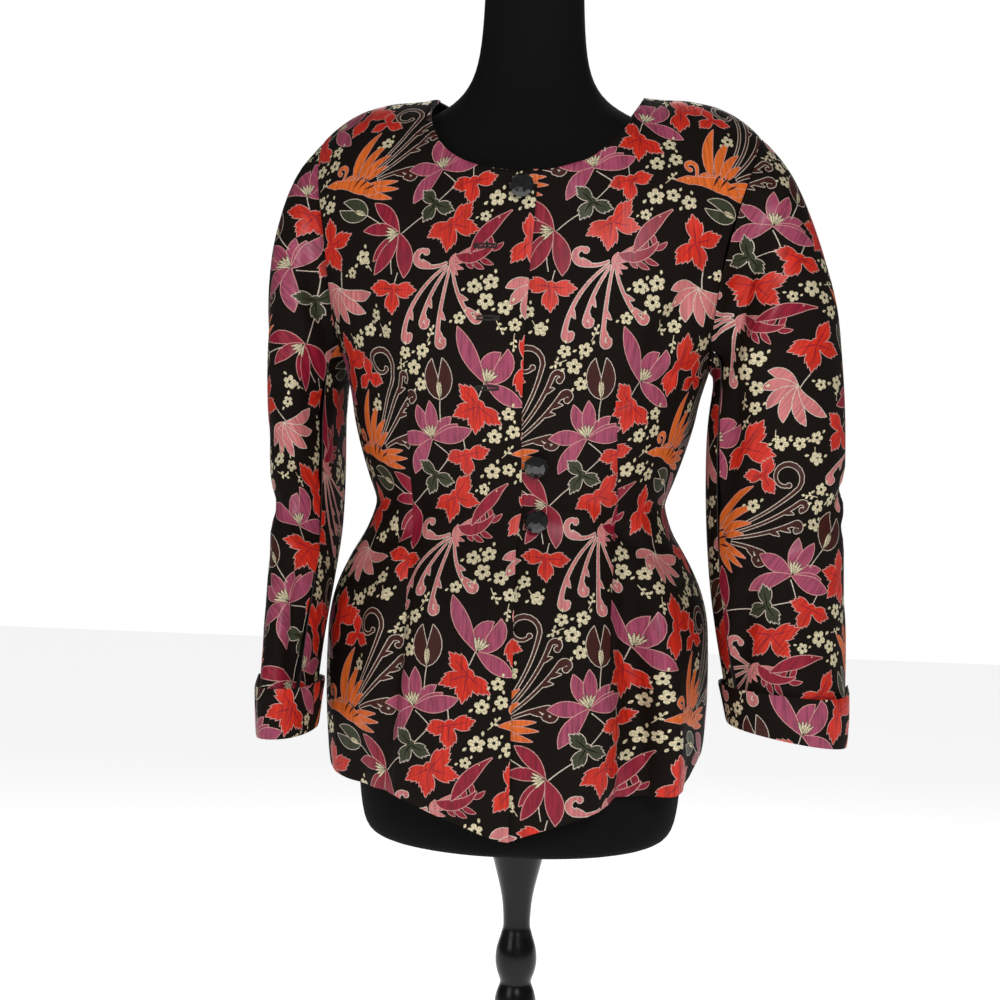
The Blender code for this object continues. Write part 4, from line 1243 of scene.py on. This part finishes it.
# Cuffs: strips of the brocade folded back over the sleeve ends, slit at the outer side, with the corners
# beside the slit turned up a little.
sew_panel(
    "cuff_left", 27, (0.3095, -0.0318, 0.827), (0.3095, -0.0242, 0.827), (0.26, -0.075, 0.855),
    (118, 60), grain=LEFT_GRAIN)
sew_panel(
    "cuff_right", 27, (-0.2231, -0.1218, 0.833), (-0.2231, -0.1142, 0.8329), (-0.2, -0.17, 0.86),
    (96, 20), grain=RIGHT_GRAIN)

# Buttons: black faceted domes of pressed glass on a metal shank, sewn to the lower front and pushed
# through their buttonholes.
WORN_EDGE = 0.0003       # width of the facets' rounded edges
WORN_STEPS = 2
ONE_FACET = math.radians(4)      # faces that turn less than this are one facet
FACET_EDGE = math.radians(9)
GLASS_BLACK = (0.006, 0.006, 0.007, 1)
GLASS_SCUFFED = (0.03, 0.03, 0.033, 1)


def glass_finish():
    """Black pressed glass: glossy facets, with fine scuffs that dull it here and there."""
    finish, surface, wire = new_finish("button_glass", IOR=1.55, Coat_Weight=0.6, Coat_Roughness=0.04)
    place = wire.node("TexCoord", output="Object")
    scuffs = place.stretched(1.0, 1.0, 3.0).noise(420.0, 4.0, 0.65).between(0.55, 0.75)
    wire.plug(surface.inputs["Base Color"], scuffs.blend(GLASS_BLACK, GLASS_SCUFFED))
    wire.plug(surface.inputs["Roughness"], 0.08 + 0.22 * scuffs)
    wire.plug(surface.inputs["Normal"], scuffs.bump(0.1, 0.0002))
    return finish


glass = glass_finish()
for node in ("button_neck", "button_waist", "button_hip"):
    button = copied_solid(node + "_glass", node)
    pick(button)
    bpy.ops.object.mode_set(mode="EDIT")
    bpy.ops.mesh.select_all(action="SELECT")
    bpy.ops.mesh.dissolve_limited(angle_limit=ONE_FACET)
    bpy.ops.object.mode_set(mode="OBJECT")
    rounded = button.modifiers.new("worn_edges", "BEVEL")
    rounded.width = WORN_EDGE
    rounded.segments = WORN_STEPS
    rounded.limit_method = "ANGLE"
    bpy.ops.object.modifier_apply(modifier="worn_edges")
    bpy.ops.object.shade_smooth_by_angle(angle=FACET_EDGE)
    finish_piece(button, glass, "button_black", node)

# Studio: a pale floor that glows, white surroundings, a soft light above the camera and to its right, a
# weaker one on its left and one from behind. The camera stands a little to the right of the jacket's front
# and above its waist.
FLOOR_SIZE = 14.0
FLOOR_DROP = 0.001       # the floor lies this far under the foot
FLOOR_GREY = (0.86, 0.86, 0.86, 1)
FLOOR_PALE = (0.9, 0.9, 0.9, 1)
WHITE = (1, 1, 1, 1)
AMBIENT = 0.11           # strength of the white surroundings as they light the jacket
FLOOR_GLOW = 0.80
IMAGE_WIDTH = 0.96       # metres that the picture spans at the jacket
CAMERA_TURN = math.radians(9.0)
CAMERA_DISTANCE = 1.7
CAMERA_RISE = 0.0768     # eye above the place that it looks at
CAMERA_ROLL = math.radians(1.09)
LOOK_ASIDE = -0.024
LOOK_HEIGHT = 1.0448
LIT = Vector((0, 0, 1.1))    # where the lights point
SoftLight = namedtuple("SoftLight", "name aside forward height size watts")
SOFT_LIGHTS = [
    SoftLight("key", 0.5, 2.4, 2.2, 0.9, 42),
    SoftLight("fill", -1.7, 1.8, 1.7, 1.2, 11),
    SoftLight("behind", 0.2, -2.4, 2.6, 1.8, 34),
]

bpy.ops.object.select_all(action="DESELECT")
bpy.ops.mesh.primitive_plane_add(size=FLOOR_SIZE, location=(0, 0, -FLOOR_DROP))
floor = bpy.context.object
floor.name = "floor"
bpy.ops.object.transform_apply(location=True, rotation=True, scale=True)
paint, surface, wire = new_finish("floor_paint", Emission_Color=WHITE, Emission_Strength=FLOOR_GLOW)
mottles = wire.node("TexCoord", output="Object").noise(1.2, 3.0)
wire.plug(surface.inputs["Base Color"], mottles.blend(FLOOR_GREY, FLOOR_PALE))
wire.plug(surface.inputs["Roughness"], 0.7 + 0.1 * mottles)
floor.data.materials.append(paint)

right = Vector((math.cos(CAMERA_TURN), math.sin(CAMERA_TURN), 0))
out = Vector((math.sin(CAMERA_TURN), -math.cos(CAMERA_TURN), 0))
target = right * LOOK_ASIDE + Vector((0, 0, LOOK_HEIGHT))
camera = bpy.data.objects.new("camera", bpy.data.cameras.new("camera"))
bpy.context.scene.collection.objects.link(camera)
camera.location = target + out * CAMERA_DISTANCE + Vector((0, 0, CAMERA_RISE))
look = (target - camera.location).to_track_quat("-Z", "Y").to_matrix()
camera.rotation_euler = (look @ Matrix.Rotation(CAMERA_ROLL, 3, "Z")).to_euler()
camera.data.sensor_fit = "HORIZONTAL"
camera.data.angle = 2 * math.atan(IMAGE_WIDTH / 2 / CAMERA_DISTANCE)
bpy.context.scene.camera = camera

for row in SOFT_LIGHTS:
    light = bpy.data.objects.new(row.name, bpy.data.lights.new(row.name, "AREA"))
    bpy.context.scene.collection.objects.link(light)
    light.data.size = row.size
    light.data.energy = row.watts
    light.location = right * row.aside + out * row.forward + Vector((0, 0, row.height))
    light.rotation_euler = (LIT - light.location).to_track_quat("-Z", "Y").to_euler()
world = bpy.data.worlds.new("studio")
world.use_nodes = True
wire = Wire(world.node_tree)
seen = wire.node("LightPath", output="Is Camera Ray")
background = world.node_tree.nodes["Background"]
background.inputs["Color"].default_value = WHITE
wire.plug(background.inputs["Strength"], AMBIENT + (1 - AMBIENT) * seen)
bpy.context.scene.world = world
bpy.context.scene.view_settings.view_transform = "Standard"
